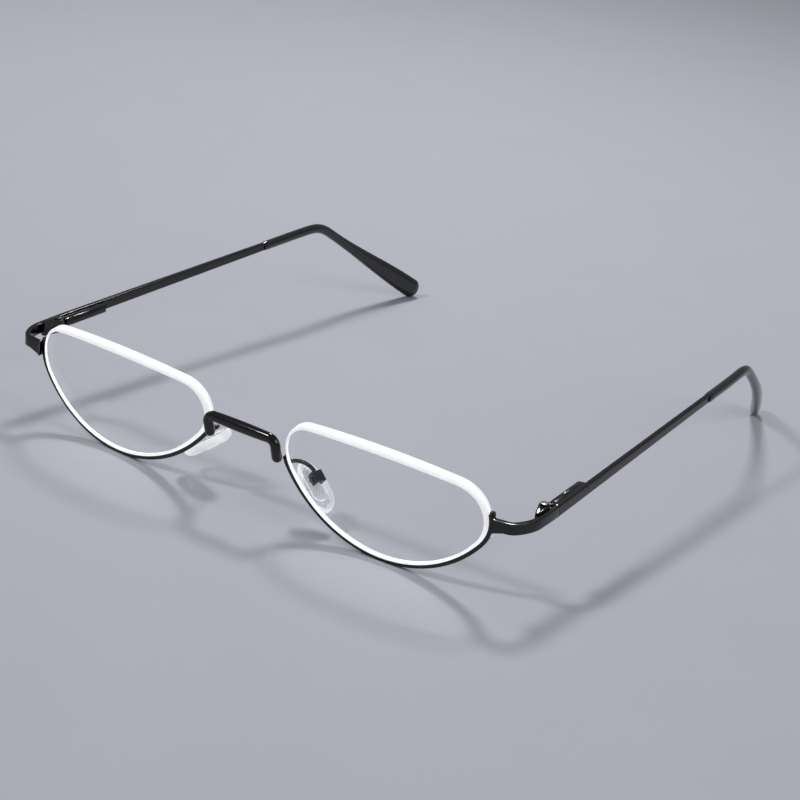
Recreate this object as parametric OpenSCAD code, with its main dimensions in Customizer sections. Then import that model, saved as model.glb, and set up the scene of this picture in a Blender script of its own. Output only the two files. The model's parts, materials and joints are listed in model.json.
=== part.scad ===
// Half-moon reading glasses with an under-rim metal front, spring hinges and screw-on nose pads.
// Millimetres, +Z up, the front faces -Y and the wearer's left is +X.
// The origin is on the surface that the open glasses stand on, under the middle of their box.
// Pieces are drawn for the wearer's left and mirrored for the right.

/* [Lens] */
// Distance from the middle of the bridge to each lens centre
lens_x = 35.7; // [34:0.1:38]
// Height of the top edge above the lens centre
lens_top_v = 13.5; // [12.6:0.1:14.4]
// Depth of the bottom edge below the lens centre
lens_bottom_v = 12.7; // [11.8:0.1:13.6]
// Radius of the nearly flat top edge
lens_top_r = 105; // [85:1:140]
// Radius of the bottom edge
lens_bottom_r = 27.3; // [25.5:0.1:29]
// Radius of the lower edge towards the nose
lens_flank_r = 32; // [30:0.5:36]
// Angle from straight down at which the nose side's edge begins
lens_flank_a = 13; // [8:1:20]
// Radius of the corner at the nose
lens_nasal_r = 7.7; // [6:0.1:9]
// Radius of the corner at the temple
lens_temporal_r = 8.6; // [7:0.1:10]
// Radius of the front surface
lens_front_r = 92; // [80:1:120]
// Radius of the back surface
lens_back_r = 112; // [100:1:160]
// Thickness at the lens centre
lens_t = 3; // [2.6:0.1:3.6]
// Width of the groove round the edge
groove_w = 0.7; // [0.6:0.05:0.8]
// Depth of the groove round the edge
groove_d = 0.6; // [0.5:0.05:0.8]
// Backward turn of each lens towards the temple
wrap_a = 3.1; // [0:0.1:6]
// Forward lean of the front against the temples
panto_a = 7.6; // [4:0.1:10]

/* [Rim and cord] */
// Thickness of the rim outwards from the lens
rim_t = 0.9; // [0.8:0.05:1.2]
// Depth of the rim from front to back
rim_w = 1.4; // [1.2:0.05:1.8]
// Depth of the channel that holds the liner
channel_d = 0.4; // [0.3:0.05:0.5]
// Height above the lens centre at which the rim starts beside the nose
rim_nasal_v = 2.2; // [1.6:0.1:2.8]
// Angle round the temporal corner at which the rim ends
rim_temporal_a = 14; // [8:1:30]
// Width of the nylon liner
liner_w = 0.5; // [0.4:0.05:0.55]
// Diameter of the nylon cord over the top of the lens
cord_d = 0.5; // [0.4:0.05:0.55]

/* [Bridge] */
// Height of the bar's middle above the lens centres
bridge_z = 6.6; // [5.5:0.1:8]
// Distance of the bar's middle behind the front plane
bridge_y = 0.9; // [0.6:0.1:1.4]
// Width of the bar seen from the front
bridge_h = 2.3; // [1.7:0.1:2.4]
// Depth of the bar from front to back
bridge_w = 2.2; // [1.6:0.1:2.4]
// Radius of the bends at the ends of the bar
bridge_bend_r = 1.8; // [1.4:0.1:2.2]
// Height of the lower ends of the legs, which are soldered to the rims
foot_z = 0.9; // [0.4:0.1:1.6]

/* [Nose pads] */
// Distance of the pad's middle from the middle of the nose
pad_x = 14.8; // [13:0.1:15.5]
// Distance of the pad's middle behind the front plane
pad_y = 8.9; // [8.6:0.1:10]
// Depth of the pad's middle below the lens centre
pad_drop = 5.4; // [5:0.1:6.4]
// Length of the pad
pad_l = 12.6; // [11:0.2:14]
// Width of the pad
pad_w = 6.8; // [6:0.2:7.6]
// Thickness of the pad
pad_t = 2.6; // [2.4:0.1:3]
// Lean of the pad's top towards the nose
pad_lean_a = 51; // [44:1:53]
// Lean of the pad's top towards the wearer
pad_pitch_a = 21; // [10:1:24]
// Turn of the pad's face towards the wearer
pad_splay_a = 26; // [20:1:34]
// Length of the stiff core in the pad
core_l = 8.4; // [7:0.2:9]
// Width of the stiff core in the pad
core_w = 3.8; // [3.2:0.1:4.2]
// Thickness of the stiff core
core_t = 0.7; // [0.5:0.05:0.9]
// Width of the core's tab in the pad box
tab_w = 1.2; // [1:0.05:1.4]
// Diameter of the pad screw
pad_screw_d = 0.7; // [0.6:0.05:0.8]
// Distance of the pad screw above the pad's middle
pad_screw_up = 1; // [0.5:0.1:1.5]
// Wall of the pad box
pad_box_wall = 0.55; // [0.45:0.05:0.7]
// Height of the pad box
pad_box_h = 2.6; // [2.2:0.1:3]
// Diameter of the wire that carries the pad
pad_wire_d = 0.9; // [0.8:0.05:1.1]
// Height above the lens centre at which the wire leaves the rim
pad_root_v = 0.6; // [0:0.1:1.2]

/* [Endpiece and hinge] */
// Distance from the middle of the glasses to the hinge axis
hinge_x = 65.9; // [64.5:0.1:67]
// Distance from the front plane back to the hinge axis
hinge_y = 16.1; // [14:0.1:18]
// Height of the temples above the lens centres
hinge_z = 4.8; // [4:0.1:5.4]
// Thickness of the flat stock of endpiece and temple
stock_t = 1.2; // [1:0.05:1.4]
// Height of the endpiece at the hinge
endpiece_h = 2.5; // [2.2:0.1:2.8]
// Height of the endpiece at the rim
endpiece_root_h = 3.3; // [2.8:0.1:3.6]
// How far the middle of the endpiece drops towards the rim
endpiece_root_drop = 0.7; // [0.2:0.1:0.9]
// Front face of the endpiece behind the front plane
endpiece_y = 3.8; // [3.6:0.1:4.2]
// Outer radius of the front of the endpiece's bend
endpiece_bend_r = 3; // [2.6:0.1:5]
// Outer radius of the rest of the bend
endpiece_sweep_r = 10.7; // [7:0.1:11]
// Angle at which the first radius gives way to the second
endpiece_turn_a = 51; // [30:1:55]
// Distance from the hinge axis back to the butt joint
butt_y = 2.2; // [2:0.1:2.6]
// Radius of the hinge knuckles
knuckle_r = 1.2; // [1:0.05:1.3]
// Height of the eye on the slider
eye_h = 1; // [0.8:0.05:1.2]
// Height of each knuckle of the front leaf
lug_h = 1.1; // [0.9:0.05:1.3]
// Length of the leaf on the endpiece
leaf_l = 4.4; // [4:0.1:4.4]
// Diameter of the hinge screw
hinge_screw_d = 0.84; // [0.7:0.02:0.9]
// Diameter of the hinge screw's head
screw_head_d = 1.7; // [1.5:0.05:1.9]
// Height of the hinge screw's head
screw_head_h = 0.35; // [0.3:0.05:0.5]

/* [Spring box] */
// Depth of the box inwards from the temple
box_w = 2.05; // [1.95:0.05:2.3]
// Height of the box
box_h = 2.1; // [1.9:0.1:2.5]
// Length of the box
box_l = 14; // [12.6:0.2:15]
// Wall at the front of the box
box_front = 0.8; // [0.6:0.1:1]
// Diameter of the spring chamber
chamber_d = 1.5; // [1.4:0.02:1.6]
// Distance of the rod outwards from the hinge axis
rod_x = 0.3; // [0.2:0.05:0.35]
// Diameter of the sliding rod
rod_d = 0.7; // [0.6:0.02:0.76]
// Length of the flex spring
spring_l = 7.6; // [7:0.1:8]
// Wire of the flex spring
spring_wire_d = 0.2; // [0.16:0.01:0.22]
// Outer diameter of the flex spring
spring_d = 1.34; // [1.3:0.02:1.38]
// Number of turns of the flex spring
spring_turns = 9; // [7:1:10]
// Length of the nut at the end of the rod
nut_l = 1; // [0.8:0.1:1.2]

/* [Temple] */
// Inward turn of the open temples
splay_a = 2.2; // [0:0.1:3]
// Height of the temple at the hinge
temple_h = 2.7; // [2.1:0.1:2.8]
// Height of the temple at the tip sleeve
temple_end_h = 2; // [1.4:0.1:2.2]
// Distance from the hinge to the tip sleeve
sleeve_y = 78; // [70:0.1:84]
// Diameter of the wire core in the tip
core_wire_d = 1.1; // [0.9:0.05:1.2]

/* [Tip] */
// Length of the tip along its middle line
tip_l = 70.5; // [62:0.5:76]
// Length of the straight run before the bend
tip_straight = 18.5; // [12:0.5:22]
// Length of the bend along the middle line
tip_bend_l = 11; // [9:0.5:18]
// Downward angle after the bend
tip_bend_a = 34; // [28:1:40]
// Distance from the tip's front end to the start of its inward turn
tip_turn_start = 6.5; // [4:0.5:18]
// Inward angle at the end of the tip
tip_turn_a = 19.5; // [8:0.5:24]
// Height of the tip at its front end
tip_front_h = 2.5; // [2.3:0.1:3.2]
// Thickness of the tip at its front end
tip_front_t = 2.2; // [2:0.1:2.8]
// Height of the paddle at the end
tip_end_h = 5.4; // [4.8:0.1:6.4]
// Thickness of the paddle at the end
tip_end_t = 2.8; // [2.4:0.1:3.4]
// Length of the tip's rounded end
tip_end_round = 2.6; // [2:0.1:3.2]

/* [Fits] */
// Gap between pieces that are soldered or seated
seat_gap = 0.05; // [0.03:0.01:0.08]
// Running clearance on the radius of pins and rods
run_gap = 0.04; // [0.03:0.01:0.06]
// Side clearance between pieces that move past each other
side_gap = 0.12; // [0.1:0.01:0.15]

/* [Hidden] */

metal = [0.11, 0.11, 0.12];
steel = [0.75, 0.75, 0.77];
plastic = [0.03, 0.03, 0.03];
clear = [0.80, 0.86, 0.92, 0.45];
silicone = [0.90, 0.92, 0.94, 0.60];
nylon = [0.95, 0.95, 0.97];

// Smoothness of round solids
round_fn = 48;
// Sides of a thin wire
wire_sides = 8;
// A cut reaches this far past the solid it cuts
cut = 1;
// Least share of the full size at the rounded end of a bar
end_least = 0.18;

// Lens outline as five arcs, in a plane with u towards the temple and v up

function ray(a) = [cos(a), sin(a)];
function angle_of(p) = atan2(p.y, p.x);
function full_turn(a) = (a < 0) ? a + 360 : a;

// Crossing of two circles, to the left of the line between their centres for turn = 1
function meet(c1, r1, c2, r2, turn) =
    let (d = norm(c2 - c1))
    let (a = (r1 * r1 - r2 * r2 + d * d) / (2 * d))
    let (e = (c2 - c1) / d)
    c1 + a * e + turn * sqrt(r1 * r1 - a * a) * [-e.y, e.x];

top_c = [-2, lens_top_v - lens_top_r];
bottom_c = [0.8, lens_bottom_r - lens_bottom_v];
flank_end_a = 270 - lens_flank_a;
flank_c = bottom_c + (lens_bottom_r - lens_flank_r) * ray(flank_end_a);
nasal_c = meet(top_c, lens_top_r - lens_nasal_r, flank_c, lens_flank_r - lens_nasal_r, 1);
temporal_c = meet(top_c, lens_top_r - lens_temporal_r, bottom_c, lens_bottom_r - lens_temporal_r, -1);

top_start_a = angle_of(temporal_c - top_c);
top_end_a = angle_of(nasal_c - top_c);
flank_start_a = full_turn(angle_of(nasal_c - flank_c));
bottom_end_a = angle_of(temporal_c - bottom_c);

// Longest facet and widest angle between two stations on the outline
facet_l = 2.2;
facet_a = 8;

// Stations along an arc: u, v and the outward angle; the last point is left to the next arc
function arc_steps(r, a0, a1) = ceil(max(r * (a1 - a0) * PI / 180 / facet_l, (a1 - a0) / facet_a));
function arc(c, r, a0, a1) =
    let (n = arc_steps(r, a0, a1))
    [for (i = [0 : 1 : n - 1]) let (a = a0 + (a1 - a0) * i / n) [c.x + r * cos(a), c.y + r * sin(a), a]];
function station(c, r, a) = [c.x + r * cos(a), c.y + r * sin(a), a];

// Station beside the nose at a height, on the corner's arc or below it on the flank's
function nose_station(v) =
    (v > nasal_c.y + lens_nasal_r * sin(flank_start_a))
        ? station(nasal_c, lens_nasal_r, 180 - asin((v - nasal_c.y) / lens_nasal_r))
        : station(flank_c, lens_flank_r, 180 - asin((v - flank_c.y) / lens_flank_r));

// The rim runs from the side by the nose, under the lens and up to the temporal corner
rim_nose = nose_station(rim_nasal_v);
rim_stations = concat(
    arc(nasal_c, lens_nasal_r, rim_nose.z, flank_start_a),
    arc(flank_c, lens_flank_r, max(rim_nose.z, flank_start_a), flank_end_a),
    arc(bottom_c, lens_bottom_r, flank_end_a, 360 + bottom_end_a),
    arc(temporal_c, lens_temporal_r, bottom_end_a, rim_temporal_a)
);
cord_stations = concat(
    arc(temporal_c, lens_temporal_r, rim_temporal_a, top_start_a),
    arc(top_c, lens_top_r, top_start_a, top_end_a),
    arc(nasal_c, lens_nasal_r, top_end_a, min(rim_nose.z, flank_start_a)),
    arc(flank_c, lens_flank_r, flank_start_a, rim_nose.z)
);
rim_line = concat(rim_stations, [station(temporal_c, lens_temporal_r, rim_temporal_a)]);
cord_line = concat(cord_stations, [rim_nose]);
lens_line = concat(rim_stations, cord_stations);

// Depth of a spherical surface behind its middle, and of the middle of the lens edge
function sag(r, u, v) = r - sqrt(r * r - u * u - v * v);
function edge_y(u, v) = (sag(lens_front_r, u, v) + lens_t + sag(lens_back_r, u, v)) / 2;

// Point beside the lens edge, so far outwards and so far back from its middle
function edge_point(s, out, back) =
    [s.x + out * cos(s.z), edge_y(s.x, s.y) + back, s.y + out * sin(s.z)];
function edge_rings(line, section) = [for (s = line) [for (q = section) edge_point(s, q.x, q.y)]];

// Solid through a list of rings with equal numbers of points; caps name the points of an end's faces
function fan(sides) = [for (j = [1 : sides - 2]) [0, j, j + 1]];
module loft(rings, caps = []) {
    sides = len(rings[0]);
    last = (len(rings) - 1) * sides;
    ends = (len(caps) > 0) ? caps : fan(sides);
    side_faces = [
        for (a = [0 : sides : last - 1], j = [0 : sides - 1])
            let (b = a + sides, k = (j + 1) % sides)
            each [[a + j, b + j, a + k], [b + j, b + k, a + k]]
    ];
    back_faces = [for (c = ends) [for (j = [len(c) - 1 : -1 : 0]) last + c[j]]];
    polyhedron(points = [for (r = rings) each r], faces = concat(back_faces, ends, side_faces));
}

function unit(v) = v / norm(v);

// Oval rings along a path, with each ring's height and width, upright against the given side
function tangent(path, i) = unit(path[min(i + 1, len(path) - 1)] - path[max(i - 1, 0)]);
function oval(p, t, up, h, w, sides) =
    let (across = unit(cross(t, up)))
    let (rise = cross(across, t))
    [for (j = [0 : sides - 1]) p + rise * h / 2 * cos(360 * j / sides) + across * w / 2 * sin(360 * j / sides)];

// Wire of one diameter along a path
module wire(path, d, up) {
    loft([for (i = [0 : len(path) - 1]) oval(path[i], tangent(path, i), up, d, d, wire_sides)]);
}

// Pieces of the front that lean with the lenses
module lean() {
    rotate([panto_a, 0, 0]) children();
}
module at_lens() {
    lean() translate([lens_x, 0, 0]) rotate([0, 0, wrap_a]) children();
}
function turn_x(p, a) = [p.x, p.y * cos(a) - p.z * sin(a), p.y * sin(a) + p.z * cos(a)];
function turn_z(p, a) = [p.x * cos(a) - p.y * sin(a), p.x * sin(a) + p.y * cos(a), p.z];
function turn_y(p, a) = [p.x * cos(a) + p.z * sin(a), p.y, p.z * cos(a) - p.x * sin(a)];
function lens_to_front(p) = turn_x(turn_z(p, wrap_a) + [lens_x, 0, 0], panto_a);

// The lens: rings grow over the front, step into the groove and shrink over the back
lens_steps = [0.2, 0.4, 0.6, 0.8, 1];
function front_ring(k) = [for (s = lens_line) [s.x * k, sag(lens_front_r, s.x * k, s.y * k), s.y * k]];
function back_ring(k) = [for (s = lens_line) [s.x * k, lens_t + sag(lens_back_r, s.x * k, s.y * k), s.y * k]];
function groove_ring(out, back) = [for (s = lens_line) edge_point(s, out, back)];

module lens() {
    color(clear) loft(concat(
        [for (k = lens_steps) front_ring(k)],
        [
            groove_ring(0, -groove_w / 2), groove_ring(-groove_d, -groove_w / 2),
            groove_ring(-groove_d, groove_w / 2), groove_ring(0, groove_w / 2)
        ],
        [for (i = [len(lens_steps) - 1 : -1 : 0]) back_ring(lens_steps[i])]
    ));
}

// The rim is a channel round the lower edge of the lens
rim_out = seat_gap + rim_t;
channel_out = seat_gap + channel_d;
channel_w = liner_w + 2 * seat_gap;

module rim() {
    color(metal) loft(edge_rings(rim_line, [
        [seat_gap, -rim_w / 2], [seat_gap, -channel_w / 2],
        [channel_out, -channel_w / 2], [channel_out, channel_w / 2],
        [seat_gap, channel_w / 2], [seat_gap, rim_w / 2],
        [rim_out, rim_w / 2], [rim_out, -rim_w / 2]
    ]), caps = [[0, 1, 2, 7], [2, 3, 6, 7], [3, 4, 5, 6]]);
}

// The liner fills the channel and reaches into the groove of the lens
module rim_liner() {
    inner = seat_gap - groove_d;
    outer = channel_out - seat_gap;
    color(nylon) loft(edge_rings(rim_line, [
        [inner, -liner_w / 2], [inner, liner_w / 2],
        [outer, liner_w / 2], [outer, -liner_w / 2]
    ]));
}

// The cord lies in the groove over the top of the lens
module lens_cord() {
    middle = seat_gap + cord_d / 2 - groove_d;
    color(nylon) loft(edge_rings(cord_line, [
        for (j = [0 : wire_sides - 1]) let (a = -360 * j / wire_sides)
            [middle + cord_d / 2 * cos(a), cord_d / 2 * sin(a)]
    ]));
}

// Bridge: a bar with a bend at each end and legs that pass the lenses and end against the rims
leg_r = bridge_h / 2;
lens_side_u = nasal_c.x - lens_nasal_r;
lens_side = turn_z([lens_side_u, sag(lens_front_r, lens_side_u, nasal_c.y), nasal_c.y], wrap_a);
leg_x = lens_x + lens_side.x - side_gap - leg_r;
rim_nose_front = turn_z(edge_point(rim_nose, rim_out / 2, -rim_w / 2), wrap_a);
leg_end_y = rim_nose_front.y - seat_gap - bridge_w / 2;
bend_step = 15;
foot_steps = 4;

bridge_half = concat(
    [[0, bridge_y, bridge_z]],
    [for (a = [90 : -bend_step : 0])
        [leg_x - bridge_bend_r * (1 - cos(a)), bridge_y, bridge_z - bridge_bend_r * (1 - sin(a))]],
    [for (i = [0 : foot_steps]) [leg_x, leg_end_y, foot_z + leg_r * (1 - sin(90 * i / foot_steps))]]
);
bridge_path = concat(
    [for (i = [len(bridge_half) - 1 : -1 : 1]) let (p = bridge_half[i]) [-p.x, p.y, p.z]],
    bridge_half
);
// Each leg has a rounded lower end
function foot_round(z) = max(end_least, sqrt(1 - pow(max(0, 1 - (z - foot_z) / leg_r), 2)));

module bridge() {
    color(metal) lean() loft([
        for (i = [0 : len(bridge_path) - 1])
            let (p = bridge_path[i], k = foot_round(p.z))
            oval(p, tangent(bridge_path, i), [0, 1, 0], bridge_w * k, bridge_h * k, 12)
    ]);
}

// Nose pad, drawn with x away from the nose, y across and z along the pad
pad_c = [pad_x, pad_y, -pad_drop];
module at_pad() {
    translate(pad_c) rotate([-pad_pitch_a, 0, 0]) rotate([0, -pad_lean_a, 0]) rotate([0, 0, -pad_splay_a]) children();
}
function pad_to_front(p) = turn_x(turn_y(turn_z(p, -pad_splay_a), -pad_lean_a), -pad_pitch_a) + pad_c;

pad_back = pad_t / 2;
box_gap = 0.4;
pad_box_l = 1.9;
pad_pin_in = 0.65;
box_x0 = pad_back + box_gap;
box_x1 = box_x0 + pad_box_l;
pad_pin_x = box_x0 + pad_pin_in;
tab_r = 0.62;
pad_pin_r = pad_screw_d / 2;
slot_w = tab_w + 2 * side_gap;
pad_box_w = slot_w + 2 * pad_box_wall;

// Outline of the pad: an oval that is fuller at the bottom
pad_sides = 32;
pad_fuller = 0.16;
function pad_outline(inset) = [
    for (j = [0 : pad_sides - 1])
        let (a = 360 * j / pad_sides, half = pad_w / 2 - inset, tall = pad_l / 2 - inset)
        [half * cos(a) * (1 - pad_fuller * sin(a)), tall * sin(a)]
];

// Depth of each ring from the pad's back, and how far it is set in from the outline
pad_rings = [[0, 0.7], [0.35, 0.15], [0.9, 0], [1.5, 0.25], [pad_t - 0.35, 1], [pad_t - 0.08, 2], [pad_t, 3]];

module nose_pad() {
    color(silicone) difference() {
        loft([for (r = pad_rings) [for (q = pad_outline(r.y)) [pad_back - r.x, q.x, q.y]]]);
        translate([pad_back - core_t - seat_gap, 0, pad_screw_up / 2])
            core_plate(core_t + seat_gap + cut, seat_gap);
    }
}

// Flat plate with round ends
module core_plate(t, grow) {
    r = core_w / 2 + grow;
    run = core_l / 2 - core_w / 2;
    rotate([0, 90, 0]) linear_extrude(t) {
        square([2 * run, 2 * r], center = true);
        for (s = [-1, 1]) translate([s * run, 0]) circle(r = r, $fn = round_fn);
    }
}

module pad_core() {
    plate_x = pad_back - core_t;
    color(clear) difference() {
        union() {
            translate([plate_x, 0, pad_screw_up / 2]) core_plate(core_t, 0);
            translate([plate_x, -tab_w / 2, pad_screw_up - tab_r]) cube([pad_pin_x - plate_x, tab_w, 2 * tab_r]);
            translate([pad_pin_x, 0, pad_screw_up]) rotate([90, 0, 0])
                cylinder(r = tab_r, h = tab_w, center = true, $fn = round_fn);
        }
        pad_pin_hole();
    }
}

module pad_pin_hole() {
    translate([pad_pin_x, 0, pad_screw_up]) rotate([90, 0, 0])
        cylinder(r = pad_pin_r + run_gap, h = pad_box_w + 2 * cut, center = true, $fn = round_fn);
}

// The box holds the tab between two cheeks
module pad_box() {
    color(metal) difference() {
        translate([box_x0, -pad_box_w / 2, pad_screw_up - pad_box_h / 2])
            cube([box_x1 - box_x0, pad_box_w, pad_box_h]);
        translate([box_x0 - cut, -slot_w / 2, pad_screw_up - pad_box_h / 2 - cut])
            cube([box_x1 - pad_box_wall - box_x0 + cut, slot_w, pad_box_h + 2 * cut]);
        pad_pin_hole();
    }
}

module pad_screw() {
    head_r = 0.6;
    head_h = 0.3;
    slot = 0.18;
    head_z = pad_box_w / 2 + seat_gap;
    color(steel) translate([pad_pin_x, 0, pad_screw_up]) rotate([90, 0, 0]) difference() {
        union() {
            cylinder(r = pad_pin_r, h = 2 * head_z, center = true, $fn = round_fn);
            translate([0, 0, head_z]) cylinder(r = head_r, h = head_h, $fn = round_fn);
        }
        translate([-head_r, -slot / 2, head_z + head_h / 2]) cube([2 * head_r, slot, cut]);
    }
}

// Wire from the back of the rim's nose end round to the top of the pad box
function bezier(a, b, c, d, t) =
    pow(1 - t, 3) * a + 3 * t * pow(1 - t, 2) * b + 3 * t * t * (1 - t) * c + pow(t, 3) * d;

pad_root = lens_to_front(edge_point(nose_station(pad_root_v), rim_out / 2, rim_w / 2 + seat_gap));
wire_in = 0.75;
pad_end = pad_to_front([box_x1 - wire_in, 0, pad_screw_up + pad_box_h / 2 + seat_gap]);
pad_end_dir = pad_to_front([0, 0, 1]) - pad_c;
wire_reach = [-0.6, 3.4, 0];
wire_drop = 2.4;
wire_steps = 14;

module pad_arm() {
    path = [for (i = [0 : wire_steps])
        bezier(pad_root, pad_root + wire_reach, pad_end + wire_drop * pad_end_dir, pad_end, i / wire_steps)];
    color(metal) wire(path, pad_wire_d, [1, 0, 1]);
}

// Endpiece: flat stock that leaves the rim sideways and bends back to the hinge
stock_in_x = knuckle_r + 0.1;
arm_in_x = hinge_x + stock_in_x;
arm_out_x = arm_in_x + stock_t;
rim_side = lens_to_front(edge_point(station(temporal_c, lens_temporal_r, 0), rim_out, -rim_w / 2));
endpiece_x0 = rim_side.x + seat_gap;
sweep_more = endpiece_sweep_r - endpiece_bend_r;
sweep_turn = [sin(endpiece_turn_a), -cos(endpiece_turn_a)];
bend_c = [arm_out_x - endpiece_sweep_r + sweep_more * sweep_turn.x, endpiece_y + endpiece_bend_r];
sweep_c = bend_c - sweep_more * sweep_turn;

bend_steps = 12;
taper_x = bend_c.x - stock_t;

// One face of the bent stock in plan, set in from the outer face by the inset
function bend_face(inset) = [
    [taper_x, endpiece_y + inset],
    for (i = [0:bend_steps])
        let(a = i * endpiece_turn_a / bend_steps - 90)
        bend_c + (endpiece_bend_r - inset) * [cos(a), sin(a)],
    for (i = [1:bend_steps])
        let(a = (90 - endpiece_turn_a) * (i / bend_steps - 1))
        sweep_c + (endpiece_sweep_r - inset) * [cos(a), sin(a)],
    [arm_out_x - inset, hinge_y + butt_y]
];
outer_face = bend_face(0);
inner_face = bend_face(stock_t);

module endpiece() {
    color(metal) translate([0, 0, hinge_z - endpiece_h / 2]) {
        translate([0, endpiece_y + stock_t, 0]) rotate([90, 0, 0]) linear_extrude(stock_t) polygon([
            [endpiece_x0, endpiece_h / 2 - endpiece_root_drop - endpiece_root_h / 2], [taper_x, 0], [bend_c.x, 0],
            [bend_c.x, endpiece_h], [taper_x, endpiece_h],
            [endpiece_x0, endpiece_h / 2 - endpiece_root_drop + endpiece_root_h / 2]
        ]);
        linear_extrude(endpiece_h)
            polygon(concat(outer_face, [for (i = [len(inner_face) - 1:-1:0]) inner_face[i]]));
    }
}

// Hinge parts are drawn round the hinge axis: x outwards, y back along the temple
module at_hinge() {
    translate([hinge_x, hinge_y, hinge_z]) children();
}
screw_r = hinge_screw_d / 2;
lug_z = eye_h / 2 + seat_gap;
leaf_t = 0.95;
leaf_h = 2 * (lug_z + lug_h);

// A gusset in front of the knuckles carries them on the leaf
module hinge_leaf() {
    lean_a = 17;
    color(metal) at_hinge() difference() {
        translate([0, 0, -leaf_h / 2]) linear_extrude(leaf_h) {
            circle(r = knuckle_r, $fn = round_fn);
            polygon([
                [stock_in_x, -leaf_l], [stock_in_x, 0], [0, 0],
                -knuckle_r * [cos(lean_a), sin(lean_a)], [stock_in_x - leaf_t, -leaf_l]
            ]);
        }
        cylinder(r = screw_r + run_gap, h = leaf_h + 2 * cut, center = true, $fn = round_fn);
        cylinder(r = knuckle_r + side_gap, h = 2 * lug_z, center = true, $fn = round_fn);
    }
}

module hinge_screw() {
    top = lug_z + lug_h + seat_gap;
    slot = 0.22;
    color(steel) at_hinge() difference() {
        union() {
            translate([0, 0, -lug_z - lug_h]) cylinder(r = screw_r, h = lug_z + lug_h + top, $fn = round_fn);
            translate([0, 0, top]) cylinder(r = screw_head_d / 2, h = screw_head_h, $fn = round_fn);
        }
        translate([-screw_head_d / 2, -slot / 2, top + screw_head_h / 2]) cube([screw_head_d, slot, cut]);
    }
}

// Everything on the temple turns inwards with it
module at_temple() {
    at_hinge() rotate([0, 0, splay_a]) children();
}

// Slider: the eye on the screw, a neck and the rod that runs in the spring box
box_y0 = butt_y + seat_gap;
chamber_y0 = box_y0 + box_front;
nut_y = chamber_y0 + spring_l + 2 * seat_gap;
rod_r = rod_d / 2;
neck_w = 0.9;
rod_fit = 0.02;

module hinge_slider() {
    color(steel) at_temple() difference() {
        union() {
            cylinder(r = knuckle_r, h = eye_h, center = true, $fn = round_fn);
            translate([rod_x - neck_w / 2, 0, -eye_h / 2]) cube([neck_w, box_y0 - 2 * seat_gap, eye_h]);
            translate([rod_x, 0, 0]) rotate([-90, 0, 0]) cylinder(r = rod_r, h = nut_y + nut_l, $fn = round_fn);
        }
        cylinder(r = screw_r + run_gap, h = eye_h + 2 * cut, center = true, $fn = round_fn);
    }
}

module slider_nut() {
    color(steel) at_temple() translate([rod_x, nut_y, 0]) rotate([-90, 0, 0]) difference() {
        cylinder(r = spring_d / 2, h = nut_l, $fn = round_fn);
        translate([0, 0, -cut]) cylinder(r = rod_r + rod_fit, h = nut_l + 2 * cut, $fn = round_fn);
    }
}

spring_r = (spring_d - spring_wire_d) / 2;
spring_steps = 12;
function coil(i) =
    let (a = 360 * i / spring_steps, run = spring_l - spring_wire_d)
    [rod_x + spring_r * cos(a), chamber_y0 + seat_gap + spring_wire_d / 2 + run * i / (spring_turns * spring_steps),
        spring_r * sin(a)];

module flex_spring() {
    path = [for (i = [0 : spring_turns * spring_steps]) coil(i)];
    color(steel) at_temple() loft([
        for (i = [0 : len(path) - 1])
            oval(path[i], tangent(path, i), [0, 1, 0], spring_wire_d, spring_wire_d, 6)
    ]);
}

// Spring box: a rounded housing on the inner face of the temple, with a sloping back end
module spring_box() {
    r = 0.8;
    nut_run = 0.6;
    chamber_l = nut_y + nut_l + nut_run - chamber_y0;
    slope_in = 0.84;
    slope_a = 35;
    color(metal) at_temple() difference() {
        translate([stock_in_x, box_y0, 0]) rotate([-90, 0, 0]) linear_extrude(box_l) {
            translate([-box_w + r, -box_h / 2]) square([box_w - r, box_h]);
            translate([-box_w, -box_h / 2 + r]) square([box_w, box_h - 2 * r]);
            for (s = [-1, 1]) translate([-box_w + r, s * (box_h / 2 - r)]) circle(r = r, $fn = round_fn);
        }
        translate([rod_x, chamber_y0, 0]) rotate([-90, 0, 0]) cylinder(r = chamber_d / 2, h = chamber_l, $fn = round_fn);
        translate([rod_x, 0, 0]) rotate([-90, 0, 0]) cylinder(r = rod_r + run_gap, h = chamber_y0 + cut, $fn = round_fn);
        translate([stock_in_x - box_w, box_y0 + box_l - slope_in, -box_h])
            rotate([0, 0, slope_a]) translate([-2 * box_w, 0, 0]) cube([4 * box_w, 2 * box_w, 2 * box_h]);
    }
}

// Middle line of the tip: straight, then a bend down and a slow turn inwards
tip_steps = 36;
round_steps = 6;
tip_s = concat(
    [for (i = [0 : tip_steps - 1]) (tip_l - tip_end_round) * i / tip_steps],
    [for (i = [0 : round_steps]) tip_l - tip_end_round * (1 - sin(90 * i / round_steps))]
);
arm_mid_x = stock_in_x + stock_t / 2;
function ease(t) = (t <= 0) ? 0 : (t >= 1) ? 1 : t * t * (3 - 2 * t);
function tip_dir(s) =
    let (down = tip_bend_a * ease((s - tip_straight) / tip_bend_l))
    let (turn = tip_turn_a * ease((s - tip_turn_start) / (tip_l - tip_turn_start)))
    [-cos(down) * sin(turn), cos(down) * cos(turn), -sin(down)];
function tip_walk(i, p) =
    (i >= len(tip_s) - 1) ? [p] :
    concat([p], tip_walk(i + 1, p + tip_dir((tip_s[i] + tip_s[i + 1]) / 2) * (tip_s[i + 1] - tip_s[i])));
tip_path = tip_walk(0, [arm_mid_x, sleeve_y + seat_gap, 0]);

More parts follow.
